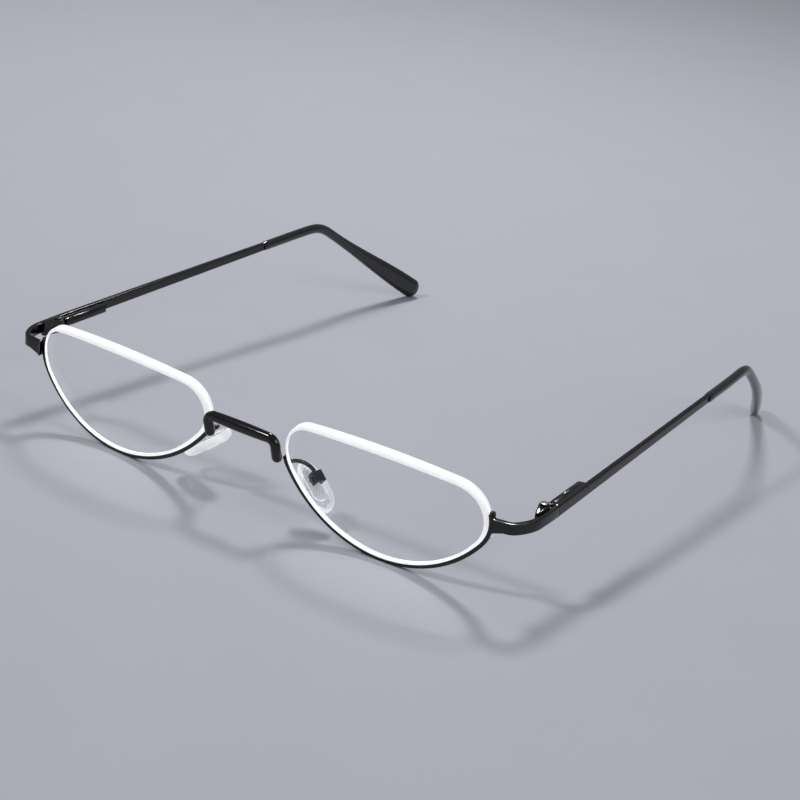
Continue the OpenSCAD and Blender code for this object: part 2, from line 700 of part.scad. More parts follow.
// Share of the way from the sleeve's section to the paddle's, and the rounding of the end
grow_from = 0.45;
grow_over = 0.5;
function tip_grow(s) = ease((s / tip_l - grow_from) / grow_over);
function tip_round(s) = max(end_least, sqrt(max(0, 1 - pow(max(0, (s - tip_l) / tip_end_round + 1), 2))));
function tip_ring(i) =
    let (s = tip_s[i])
    let (h = (tip_front_h + (tip_end_h - tip_front_h) * tip_grow(s)) * tip_round(s))
    let (w = (tip_front_t + (tip_end_t - tip_front_t) * tip_grow(s)) * tip_round(s))
    oval(tip_path[i], tangent(tip_path, i), [0, 0, 1], h, w, 16);
tip_rings = [for (i = [0 : len(tip_s) - 1]) tip_ring(i)];

// The core wire follows the tip's middle line most of the way
core_last = tip_steps - 6;
core_path = [for (i = [0 : core_last]) tip_path[i]];
core_lap = 2;

module temple_arm() {
    color(metal) at_temple() {
        translate([stock_in_x, 0, 0]) rotate([90, 0, 90]) linear_extrude(stock_t) polygon([
            [box_y0, -temple_h / 2], [sleeve_y, -temple_end_h / 2],
            [sleeve_y, temple_end_h / 2], [box_y0, temple_h / 2]
        ]);
        wire(concat([core_path[0] - [0, core_lap, 0]], core_path), core_wire_d, [0, 0, 1]);
    }
}

module temple_tip() {
    channel = core_wire_d + 2 * seat_gap;
    color(plastic) at_temple() difference() {
        loft(tip_rings);
        wire(concat([core_path[0] - [0, cut, 0]], core_path), channel, [0, 0, 1]);
    }
}

// Stance: the open glasses lean until the rims and the tips touch the same surface
function tip_to_front(p) = turn_z(p, splay_a) + [hinge_x, hinge_y, hinge_z];
foot_points = concat(
    [for (s = rim_line) lens_to_front(edge_point(s, rim_out, rim_w / 2))],
    [for (s = rim_line) lens_to_front(edge_point(s, rim_out, -rim_w / 2))]
);
tip_points = [for (r = tip_rings, p = r) tip_to_front(p)];
function lowest(points, a) =
    let (z = [for (p = points) turn_x(p, a).z])
    points[search(min(z), z)[0]];
function stance_step(a) =
    let (f = lowest(foot_points, a), t = lowest(tip_points, a))
    atan((f.z - t.z) / (t.y - f.y));
stance_a = stance_step(stance_step(0));
lift = -min([for (p = concat(foot_points, tip_points)) turn_x(p, stance_a).z]);

front_points = concat(
    [for (s = lens_line) lens_to_front([s.x, sag(lens_front_r, s.x, s.y), s.y])],
    [turn_x([0, bridge_y - bridge_w / 2, bridge_z], panto_a)]
);
front_y = min([for (p = front_points) turn_x(p, stance_a).y]);
back_y = max([for (p = tip_points) turn_x(p, stance_a).y]);

module stand() {
    translate([0, -(front_y + back_y) / 2, lift]) rotate([stance_a, 0, 0]) children();
}
module left() {
    stand() children();
}
module right() {
    stand() mirror([1, 0, 0]) children();
}

stand() bridge();
left() at_lens() rim();  // rim_left
right() at_lens() rim();  // rim_right
left() at_lens() rim_liner();  // rim_liner_left
right() at_lens() rim_liner();  // rim_liner_right
left() at_lens() lens();  // lens_left
right() at_lens() lens();  // lens_right
left() at_lens() lens_cord();  // lens_cord_left
right() at_lens() lens_cord();  // lens_cord_right
left() pad_arm();  // pad_arm_left
right() pad_arm();  // pad_arm_right
left() at_pad() pad_box();  // pad_box_left
right() at_pad() pad_box();  // pad_box_right
left() at_pad() pad_screw();  // pad_screw_left
right() at_pad() pad_screw();  // pad_screw_right
left() at_pad() pad_core();  // pad_core_left
right() at_pad() pad_core();  // pad_core_right
left() at_pad() nose_pad();  // nose_pad_left
right() at_pad() nose_pad();  // nose_pad_right
left() endpiece();  // endpiece_left
right() endpiece();  // endpiece_right
left() hinge_leaf();  // hinge_leaf_left
right() hinge_leaf();  // hinge_leaf_right
left() hinge_screw();  // hinge_screw_left
right() hinge_screw();  // hinge_screw_right
left() hinge_slider();  // hinge_slider_left
right() hinge_slider();  // hinge_slider_right
left() slider_nut();  // slider_nut_left
right() slider_nut();  // slider_nut_right
left() flex_spring();  // flex_spring_left
right() flex_spring();  // flex_spring_right
left() spring_box();  // spring_box_left
right() spring_box();  // spring_box_right
left() temple_arm();  // temple_arm_left
right() temple_arm();  // temple_arm_right
left() temple_tip();  // temple_tip_left
right() temple_tip();  // temple_tip_right
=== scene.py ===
"""Half-moon reading glasses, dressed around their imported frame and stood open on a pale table.

The front is an under-rim metal frame with clear lenses, whose ground edges show white, a nylon cord
over each lens and silicone nose pads. The temples have spring hinges and plastic tips. Lengths are in
metres. The wearer's left is +X and the front faces -Y. Left pieces are modelled and then mirrored.
"""

from __future__ import annotations

import json
import logging
import math
from dataclasses import dataclass, field
from enum import Enum
from typing import Callable, Iterable, NamedTuple, Sequence

import bmesh
import bpy
from mathutils import Matrix, Vector

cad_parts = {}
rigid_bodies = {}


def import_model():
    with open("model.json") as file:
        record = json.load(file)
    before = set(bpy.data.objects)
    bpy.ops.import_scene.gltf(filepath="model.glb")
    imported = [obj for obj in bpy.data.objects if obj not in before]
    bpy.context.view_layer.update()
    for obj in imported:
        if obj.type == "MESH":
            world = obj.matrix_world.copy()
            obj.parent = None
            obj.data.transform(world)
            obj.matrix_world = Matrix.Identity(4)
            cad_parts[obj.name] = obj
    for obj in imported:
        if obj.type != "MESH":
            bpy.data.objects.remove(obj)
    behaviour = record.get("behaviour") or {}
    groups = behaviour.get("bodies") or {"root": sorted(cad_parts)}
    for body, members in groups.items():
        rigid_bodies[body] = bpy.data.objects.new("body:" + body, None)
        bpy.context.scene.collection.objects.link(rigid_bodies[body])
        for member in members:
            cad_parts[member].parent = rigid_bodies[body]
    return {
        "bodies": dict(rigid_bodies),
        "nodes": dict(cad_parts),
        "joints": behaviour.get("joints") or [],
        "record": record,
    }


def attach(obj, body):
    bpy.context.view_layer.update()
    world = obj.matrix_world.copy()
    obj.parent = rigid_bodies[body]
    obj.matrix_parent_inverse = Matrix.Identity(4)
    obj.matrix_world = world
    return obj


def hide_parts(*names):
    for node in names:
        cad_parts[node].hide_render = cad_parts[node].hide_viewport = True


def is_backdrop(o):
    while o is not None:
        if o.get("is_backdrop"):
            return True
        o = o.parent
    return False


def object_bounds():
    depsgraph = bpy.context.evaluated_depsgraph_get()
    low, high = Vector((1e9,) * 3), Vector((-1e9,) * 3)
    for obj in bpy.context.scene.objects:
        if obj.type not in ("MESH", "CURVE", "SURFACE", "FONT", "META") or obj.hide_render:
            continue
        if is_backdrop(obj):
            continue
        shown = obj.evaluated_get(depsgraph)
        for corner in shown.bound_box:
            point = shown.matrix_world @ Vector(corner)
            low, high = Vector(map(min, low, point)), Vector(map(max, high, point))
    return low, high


LOG = logging.getLogger("glasses")
MM = 0.001
Colour = tuple[float, float, float]
Ring = Sequence[Vector]


class Side(Enum):
    """The wearer's two sides."""

    LEFT = "left"
    RIGHT = "right"


class Body(Enum):
    """The bodies that the new pieces ride on; a side follows the name of all but the front."""

    FRONT = "front"
    PAD = "pad"
    SCREW = "screw"
    TEMPLE = "temple"

    def on(self, side: Side) -> str:
        """The body's name on one side."""
        return self.value if self is Body.FRONT else f"{self.value}_{side.value}"


class Slot(Enum):
    """The record's material slots."""

    METAL = "black_metal"
    STEEL = "steel"
    LENS = "lens"
    NYLON = "nylon"
    SILICONE = "silicone"
    CORE = "pad_core"
    PLASTIC = "tip_plastic"


# Modelling


def select_only(piece: bpy.types.Object) -> None:
    """Makes a piece the only selected one, and active."""
    bpy.ops.object.select_all(action="DESELECT")
    piece.select_set(True)
    bpy.context.view_layer.objects.active = piece


def place_ring(piece: bpy.types.Object, ring: Ring) -> None:
    """Moves the selected vertices of a piece in edit mode to the points of a ring.

    Args:
        piece: The piece in edit mode, whose vertices know their number round the outline.
        ring: The points, in the outline's order.
    """
    shell = bmesh.from_edit_mesh(piece.data)
    number = shell.verts.layers.int["number"]
    for vert in shell.verts:
        if vert.select:
            vert.co = ring[vert[number]]
    bmesh.update_edit_mesh(piece.data)


def loft(name: str, rings: Sequence[Ring]) -> bpy.types.Object:
    """Models a closed solid by extruding an outline from ring to ring.

    Args:
        name: The piece's name.
        rings: Rings with equal numbers of points; the first and the last get an end face.

    Returns:
        The solid, in object mode, with its faces pointing outwards.
    """
    bpy.ops.object.select_all(action="DESELECT")
    bpy.ops.mesh.primitive_circle_add(vertices=len(rings[0]), fill_type="NGON", enter_editmode=True)
    piece = bpy.context.object
    piece.name = name
    shell = bmesh.from_edit_mesh(piece.data)
    shell.verts.layers.int.new("number")
    number = shell.verts.layers.int["number"]
    for place, vert in enumerate(shell.verts):
        vert[number] = place
    bmesh.update_edit_mesh(piece.data)
    place_ring(piece, rings[0])
    for ring in rings[1:]:
        bpy.ops.mesh.extrude_region_move()
        place_ring(piece, ring)
    bpy.ops.mesh.select_all(action="SELECT")
    bpy.ops.mesh.normals_make_consistent(inside=False)
    bpy.ops.object.mode_set(mode="OBJECT")
    piece.data.attributes.remove(piece.data.attributes["number"])
    return piece


def copy_of(node: str, name: str, frame: dict) -> bpy.types.Object:
    """Copies a node's mesh, with its loose triangles merged into flat faces."""
    piece = bpy.data.objects.new(name, frame["nodes"][node].data.copy())
    piece.data.materials.clear()
    bpy.context.scene.collection.objects.link(piece)
    select_only(piece)
    bpy.ops.object.mode_set(mode="EDIT")
    bpy.ops.mesh.select_all(action="SELECT")
    bpy.ops.mesh.remove_doubles(threshold=0.002 * MM)
    bpy.ops.mesh.dissolve_limited(angle_limit=math.radians(0.5))
    bpy.ops.object.mode_set(mode="OBJECT")
    return piece


def apply_modifier(piece: bpy.types.Object, kind: str, **settings: object) -> None:
    """Adds a modifier with its settings and applies it."""
    select_only(piece)
    modifier = piece.modifiers.new(kind.lower(), kind)
    for name, value in settings.items():
        setattr(modifier, name, value)
    bpy.ops.object.modifier_apply(modifier=modifier.name)


def bevel(piece: bpy.types.Object, width: float, segments: int = 2, over: float = 35) -> None:
    """Rounds a piece's edges that turn by more than an angle in degrees."""
    apply_modifier(
        piece, "BEVEL", width=width, segments=segments, limit_method="ANGLE", angle_limit=math.radians(over)
    )


def combine(piece: bpy.types.Object, tool: bpy.types.Object, operation: str) -> None:
    """Joins a tool to a piece or cuts it away, and removes the tool."""
    apply_modifier(piece, "BOOLEAN", operation=operation, object=tool, solver="EXACT")
    bpy.data.objects.remove(tool)


def settle(piece: bpy.types.Object, place: Matrix, smooth: float = 32) -> None:
    """Puts a piece where it belongs and smooths it.

    Args:
        piece: The piece, modelled in the frame of its sub-assembly.
        place: The matrix from that frame to the standing glasses.
        smooth: The angle in degrees up to which an edge is shaded smooth.
    """
    select_only(piece)
    piece.matrix_world = place
    bpy.ops.object.transform_apply(location=True, rotation=True, scale=True)
    bpy.ops.object.shade_smooth_by_angle(angle=math.radians(smooth))


def mirrored(piece: bpy.types.Object, name: str) -> bpy.types.Object:
    """Copies a finished left piece to the right, with its own mesh."""
    select_only(piece)
    bpy.ops.object.duplicate()
    twin = bpy.context.object
    twin.name = name
    twin.matrix_world = Matrix.Scale(-1, 4, (1, 0, 0))
    bpy.ops.object.transform_apply(location=True, rotation=True, scale=True)
    bpy.ops.object.mode_set(mode="EDIT")
    bpy.ops.mesh.select_all(action="SELECT")
    bpy.ops.mesh.normals_make_consistent(inside=False)
    bpy.ops.object.mode_set(mode="OBJECT")
    return twin


def hand_over(piece: bpy.types.Object, side: Side, node: str, body: Body, slot: Slot) -> None:
    """Lets a piece stand for a node, which it hides, and ride on its body."""
    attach(piece, body.on(side))
    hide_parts(node)
    LOG.info("%s: %d faces on %s", piece.name, len(piece.data.polygons), body.on(side))


def hand_over_pair(
    piece: bpy.types.Object, node: str, body: Body, slot: Slot, place: Matrix, smooth: float = 32
) -> None:
    """Settles a left piece and hands it over with its mirrored twin, for the nodes of both sides.

    Args:
        piece: The left piece, modelled in the frame of its sub-assembly and dressed.
        node: The nodes' name without the side.
        body: The body that both ride on, each on its own side.
        slot: The material slot of both; not used.
        place: The matrix from the sub-assembly's frame to the standing glasses.
        smooth: The angle in degrees up to which an edge is shaded smooth.
    """
    settle(piece, place, smooth)
    twin = mirrored(piece, f"{node}_right_dressed")
    hand_over(piece, Side.LEFT, f"{node}_left", body, slot)
    hand_over(twin, Side.RIGHT, f"{node}_right", body, slot)


def dress(piece: bpy.types.Object, *materials: bpy.types.Material) -> None:
    """Gives a piece its materials; the first one is on all faces."""
    piece.data.materials.clear()
    for material in materials:
        piece.data.materials.append(material)


@dataclass(frozen=True)
class Rounded:
    """A small piece that is a copy of the frame's own, with its edges rounded."""

    node: str
    body: Body
    slot: Slot
    width: float
    segments: int = 2

    def build(self, frame: dict, side: Side, material: bpy.types.Material) -> None:
        """Hands over the copy for the node of one side."""
        name = f"{self.node}_{side.value}"
        piece = copy_of(name, f"{name}_dressed", frame)
        bevel(piece, self.width, self.segments)
        dress(piece, material)
        settle(piece, Matrix.Identity(4))
        hand_over(piece, side, name, self.body, self.slot)


def round_tool(place: Sequence[float], radius: float, length: float, sides: int) -> bpy.types.Object:
    """A round bar along Y, to cut with."""
    bpy.ops.mesh.primitive_cylinder_add(
        vertices=sides, radius=radius, depth=length, location=place, rotation=(math.pi / 2, 0, 0)
    )
    return bpy.context.object


def ball(place: Sequence[float], radius: float, segments: int, rings: int) -> bpy.types.Object:
    """A small ball, to join or to cut with."""
    bpy.ops.object.select_all(action="DESELECT")
    bpy.ops.mesh.primitive_uv_sphere_add(
        segments=segments, ring_count=rings, radius=radius, location=place
    )
    return bpy.context.object


# Outlines and paths


def sweep(start: float, end: float, steps: int) -> list[float]:
    """Evenly spread values from start to end, both among them."""
    return [start + (end - start) * i / steps for i in range(steps + 1)]


def ease(share: float) -> float:
    """A smooth step from 0 to 1."""
    t = min(max(share, 0.0), 1.0)
    return t * t * (3 - 2 * t)


def oval_rings(
    path: Sequence[Vector], sizes: Sequence[tuple[float, float]], up: Vector, sides: int
) -> list[Ring]:
    """Oval rings square to a path.

    Args:
        path: The middle of each ring.
        sizes: Each ring's height along up and its width across.
        up: A direction that no stretch of the path follows.
        sides: The number of points in a ring.

    Returns:
        The rings, in the path's order.
    """
    rings = []
    last = len(path) - 1
    for i, (middle, (height, width)) in enumerate(zip(path, sizes)):
        along = (path[min(i + 1, last)] - path[max(i - 1, 0)]).normalized()
        across = along.cross(up).normalized()
        rise = across.cross(along)
        turns = [math.tau * j / sides for j in range(sides)]
        rings.append(
            [middle + rise * (height / 2 * math.cos(a)) + across * (width / 2 * math.sin(a)) for a in turns]
        )
    return rings


def rounded_outline(
    width: float, height: float, radius: float, corner: int
) -> list[tuple[float, float]]:
    """Outline of a rectangle with round corners, as pairs across and up."""
    points = []
    for turn, (sx, sz) in enumerate([(1, 1), (-1, 1), (-1, -1), (1, -1)]):
        for a in sweep(turn * math.pi / 2, (turn + 1) * math.pi / 2, corner - 1):
            x = sx * (width / 2 - radius) + radius * math.cos(a)
            z = sz * (height / 2 - radius) + radius * math.sin(a)
            points.append((x, z))
    return points


def round_end(distance: float, length: float, least: float = 0.15) -> float:
    """Share of the full size at a distance from a rounded end of some length."""
    return max(least, math.sqrt(max(0.0, 1 - max(0.0, 1 - distance / length) ** 2)))


class Station(NamedTuple):
    """A point on the lens outline, with the outward angle there."""

    u: float
    v: float
    angle: float


@dataclass(frozen=True)
class Arc:
    """An arc of the lens outline."""

    centre: Vector
    radius: float
    start: float
    end: float

    def station(self, angle: float) -> Station:
        """The point of the arc at an angle."""
        u = self.centre.x + self.radius * math.cos(angle)
        return Station(u, self.centre.y + self.radius * math.sin(angle), angle)

    def stations(self, spacing: float) -> list[Station]:
        """Points along the arc, without its end, which the next arc starts with."""
        steps = max(2, math.ceil(self.radius * (self.end - self.start) / spacing))
        return [self.station(a) for a in sweep(self.start, self.end, steps)[:-1]]


def meet(one: Vector, one_r: float, two: Vector, two_r: float, turn: int) -> Vector:
    """Crossing of two circles, to the left of the line between their centres where turn is 1."""
    apart = (two - one).length
    along = (one_r**2 - two_r**2 + apart**2) / (2 * apart)
    way = (two - one) / apart
    return one + along * way + turn * math.sqrt(one_r**2 - along**2) * Vector((-way.y, way.x))


def angle_of(way: Vector) -> float:
    """A direction's angle, from 0 up to a full turn."""
    return math.atan2(way.y, way.x) % math.tau


@dataclass(frozen=True)
class HalfMoon:
    """The outline of a half-moon lens and its two spherical surfaces."""

    top_height: float = 13.5 * MM
    top_radius: float = 105 * MM
    top_middle: float = -2 * MM
    bottom_depth: float = 12.7 * MM
    bottom_radius: float = 27.3 * MM
    bottom_middle: float = 0.8 * MM
    flank_radius: float = 32 * MM
    flank_angle: float = math.radians(13)
    nasal_radius: float = 7.7 * MM
    temporal_radius: float = 8.6 * MM
    front_radius: float = 92 * MM
    back_radius: float = 112 * MM
    thickness: float = 3 * MM
    spacing: float = 0.75 * MM

    def centres(self) -> dict[str, Vector]:
        """Centres of the five arcs."""
        top = Vector((self.top_middle, self.top_height - self.top_radius))
        bottom = Vector((self.bottom_middle, self.bottom_radius - self.bottom_depth))
        a = 1.5 * math.pi - self.flank_angle
        flank = bottom + (self.bottom_radius - self.flank_radius) * Vector((math.cos(a), math.sin(a)))
        inner, outer = self.nasal_radius, self.temporal_radius
        nasal = meet(top, self.top_radius - inner, flank, self.flank_radius - inner, 1)
        temporal = meet(top, self.top_radius - outer, bottom, self.bottom_radius - outer, -1)
        return {"top": top, "bottom": bottom, "flank": flank, "nasal": nasal, "temporal": temporal}

    def nasal_turn(self) -> float:
        """Outward angle at which the nasal corner runs into the flank."""
        c = self.centres()
        return angle_of(c["nasal"] - c["flank"])

    def beside_nose(self, height: float) -> Station:
        """The point beside the nose at a height, on the corner's arc or below it on the flank's."""
        c = self.centres()
        low = height < c["nasal"].y + self.nasal_radius * math.sin(self.nasal_turn())
        middle, radius = (c["flank"], self.flank_radius) if low else (c["nasal"], self.nasal_radius)
        angle = math.pi - math.asin((height - middle.y) / radius)
        return Arc(middle, radius, angle, angle).station(angle)

    def rim_arcs(self, nasal_height: float, temporal_end: float) -> list[Arc]:
        """Arcs under the lens, from a height beside the nose to an angle at the temporal corner."""
        c = self.centres()
        start, meeting = self.beside_nose(nasal_height).angle, self.nasal_turn()
        turn = 1.5 * math.pi - self.flank_angle
        corner = angle_of(c["temporal"] - c["bottom"])
        arcs = [
            Arc(c["nasal"], self.nasal_radius, start, meeting),
            Arc(c["flank"], self.flank_radius, max(start, meeting), turn),
            Arc(c["bottom"], self.bottom_radius, turn, corner),
            Arc(c["temporal"], self.temporal_radius, corner, math.tau + temporal_end),
        ]
        return [arc for arc in arcs if arc.end > arc.start]

    def cord_arcs(self, nasal_height: float, temporal_end: float) -> list[Arc]:
        """Arcs over the lens, from the temporal corner back to the height beside the nose."""
        c = self.centres()
        end, meeting = self.beside_nose(nasal_height).angle, self.nasal_turn()
        top_start = angle_of(c["temporal"] - c["top"])
        top_end = angle_of(c["nasal"] - c["top"])
        arcs = [
            Arc(c["temporal"], self.temporal_radius, temporal_end, top_start),
            Arc(c["top"], self.top_radius, top_start, top_end),
            Arc(c["nasal"], self.nasal_radius, top_end, min(end, meeting)),
            Arc(c["flank"], self.flank_radius, meeting, end),
        ]
        return [arc for arc in arcs if arc.end > arc.start]

    def line(self, arcs: Sequence[Arc]) -> list[Station]:
        """Stations along a run of arcs, with its last point."""
        return [s for arc in arcs for s in arc.stations(self.spacing)] + [arcs[-1].station(arcs[-1].end)]

    def sag(self, radius: float, u: float, v: float) -> float:
        """Depth of a spherical surface behind its middle."""
        return radius - math.sqrt(radius**2 - u**2 - v**2)

    def front(self, u: float, v: float) -> Vector:
        """A point of the front surface."""
        return Vector((u, self.sag(self.front_radius, u, v), v))

    def back(self, u: float, v: float) -> Vector:
        """A point of the back surface."""
        return Vector((u, self.thickness + self.sag(self.back_radius, u, v), v))

    def beside(self, s: Station, out: float, back: float) -> Vector:
        """A point so far outwards from the lens edge and so far behind its middle line."""
        middle = (self.front(s.u, s.v).y + self.back(s.u, s.v).y) / 2
        return Vector((s.u + out * math.cos(s.angle), middle + back, s.v + out * math.sin(s.angle)))


@dataclass(frozen=True)
class Stance:
    """How the open glasses stand: leaned back from level until rims and tips touch the table."""

    lean: float = math.radians(3.506)
    shift: float = -77.544 * MM
    lift: float = 13.076 * MM
    front_lean: float = math.radians(7.6)
    lens_x: float = 35.7 * MM
    lens_wrap: float = math.radians(3.1)
    pad_middle: Vector = Vector((14.8, 8.9, -5.4)) * MM
    pad_pitch: float = math.radians(-21)
    pad_lean: float = math.radians(-51)
    pad_splay: float = math.radians(-26)
    hinge: Vector = Vector((65.9, 16.1, 4.8)) * MM
    temple_splay: float = math.radians(2.2)

    def worn(self) -> Matrix:
        """From the level glasses to the standing ones."""
        return Matrix.Translation((0, self.shift, self.lift)) @ Matrix.Rotation(self.lean, 4, "X")

    def front(self) -> Matrix:
        """From the upright front to the standing glasses."""
        return self.worn() @ Matrix.Rotation(self.front_lean, 4, "X")

    def lens(self) -> Matrix:
        """From the frame of the left lens to the standing glasses."""
        shift = Matrix.Translation((self.lens_x, 0, 0))
        return self.front() @ shift @ Matrix.Rotation(self.lens_wrap, 4, "Z")

    def pad(self) -> Matrix:
        """From the frame of the left nose pad to the standing glasses."""
        turn = Matrix.Rotation(self.pad_pitch, 4, "X") @ Matrix.Rotation(self.pad_lean, 4, "Y")
        pitched = self.worn() @ Matrix.Translation(self.pad_middle) @ turn
        return pitched @ Matrix.Rotation(self.pad_splay, 4, "Z")

    def temple(self) -> Matrix:
        """From the frame of the left temple, at its hinge, to the standing glasses."""
        return self.worn() @ Matrix.Translation(self.hinge) @ Matrix.Rotation(self.temple_splay, 4, "Z")


# Finishes


def add_node(
    tree: bpy.types.NodeTree, kind: str, fed: dict[str | int, object] | None = None, **settings: object
) -> bpy.types.Node:
    """Adds a node to a tree.

    Args:
        tree: The tree.
        kind: The node's type.
        fed: What each input gets: a socket to link, or a plain value.
        settings: The node's own properties.

    Returns:
        The node.
    """
    node = tree.nodes.new(kind)
    for name, value in settings.items():
        setattr(node, name, value)
    for label, value in (fed or {}).items():
        if isinstance(value, bpy.types.NodeSocket):
            tree.links.new(value, node.inputs[label])
        else:
            node.inputs[label].default_value = value
    return node


def maths(tree: bpy.types.NodeTree, operation: str, first: object, second: object) -> bpy.types.NodeSocket:
    """Adds a Math node on two sockets or numbers and returns its result."""
    return add_node(tree, "ShaderNodeMath", {0: first, 1: second}, operation=operation).outputs[0]


def start_group(
    name: str, inputs: dict[str, tuple[str, object]], outputs: dict[str, str]
) -> bpy.types.NodeTree:
    """Starts a node group.

    Args:
        name: The group's name.
        inputs: Each input's name, with the end of its socket type and its first value.
        outputs: Each output's name, with the end of its socket type.

    Returns:
        The group, with its Group Input and Group Output nodes.
    """
    tree = bpy.data.node_groups.new(name, "ShaderNodeTree")
    for label, (kind, value) in inputs.items():
        socket = tree.interface.new_socket(name=label, in_out="INPUT", socket_type=f"NodeSocket{kind}")
        if value is not None:
            socket.default_value = value
    for label, kind in outputs.items():
        tree.interface.new_socket(name=label, in_out="OUTPUT", socket_type=f"NodeSocket{kind}")
    add_node(tree, "NodeGroupInput", name="in")
    add_node(tree, "NodeGroupOutput", name="out")
    return tree


def build_wear_group() -> bpy.types.NodeTree:
    """Fine grain and hairline scratches, as a roughness and a height."""
    tree = start_group(
        "fine_wear",
        {
            "Vector": ("Vector", None),
            "Grain": ("Float", 900.0),
            "Roughness": ("Float", 0.2),
            "Spread": ("Float", 0.05),
        },
        {"Roughness": "Float", "Height": "Float"},
    )
    given, result = tree.nodes["in"].outputs, tree.nodes["out"].inputs
    place, scale = given["Vector"], given["Grain"]
    specks = {"Detail": 5, "Vector": place, "Scale": scale}
    grain = add_node(tree, "ShaderNodeTexNoise", specks).outputs["Fac"]
    stretch = add_node(tree, "ShaderNodeVectorMath", {0: place, 1: (1.0, 0.05, 1.0)}, operation="MULTIPLY")
    fine = maths(tree, "MULTIPLY", scale, 2.5)
    stripes = {"Detail": 2, "Vector": stretch.outputs[0], "Scale": fine}
    streak = add_node(tree, "ShaderNodeTexNoise", stripes)
    limits = {"From Min": 0.64, "From Max": 0.72, "Value": streak.outputs["Fac"]}
    cut = add_node(tree, "ShaderNodeMapRange", limits, interpolation_type="SMOOTHSTEP")
    scratch = cut.outputs["Result"]
    swing = maths(tree, "MULTIPLY", maths(tree, "SUBTRACT", grain, 0.5), 2.0)
    marks = maths(tree, "MULTIPLY", maths(tree, "ADD", swing, scratch), given["Spread"])
    tree.links.new(maths(tree, "ADD", given["Roughness"], marks), result["Roughness"])
    tree.links.new(maths(tree, "SUBTRACT", grain, scratch), result["Height"])
    return tree


def build_tone_group() -> bpy.types.NodeTree:
    """A colour that drifts a little over the surface."""
    tree = start_group(
        "tone_drift",
        {
            "Vector": ("Vector", None),
            "Colour": ("Color", (0.5, 0.5, 0.5, 1.0)),
            "Size": ("Float", 120.0),
            "Amount": ("Float", 0.1),
        },
        {"Colour": "Color"},
    )
    given, result = tree.nodes["in"].outputs, tree.nodes["out"].inputs
    spread = {"Detail": 3, "Vector": given["Vector"], "Scale": given["Size"]}
    cloud = add_node(tree, "ShaderNodeTexNoise", spread)
    swing = maths(tree, "MULTIPLY", maths(tree, "SUBTRACT", cloud.outputs["Fac"], 0.5), 4.0)
    level = maths(tree, "ADD", maths(tree, "MULTIPLY", swing, given["Amount"]), 1.0)
    tone = add_node(tree, "ShaderNodeVectorMath", {0: given["Colour"], "Scale": level}, operation="SCALE")
    tree.links.new(tone.outputs[0], result["Colour"])
    return tree


class Effects:
    """The node groups that several finishes share, each built when first asked for."""

    _built: dict[str, bpy.types.NodeTree] = {}

    @classmethod
    def get(cls, name: str, build: Callable[[], bpy.types.NodeTree]) -> bpy.types.NodeTree:
        """The group of that name."""
        if name not in cls._built:
            cls._built[name] = build()
        return cls._built[name]


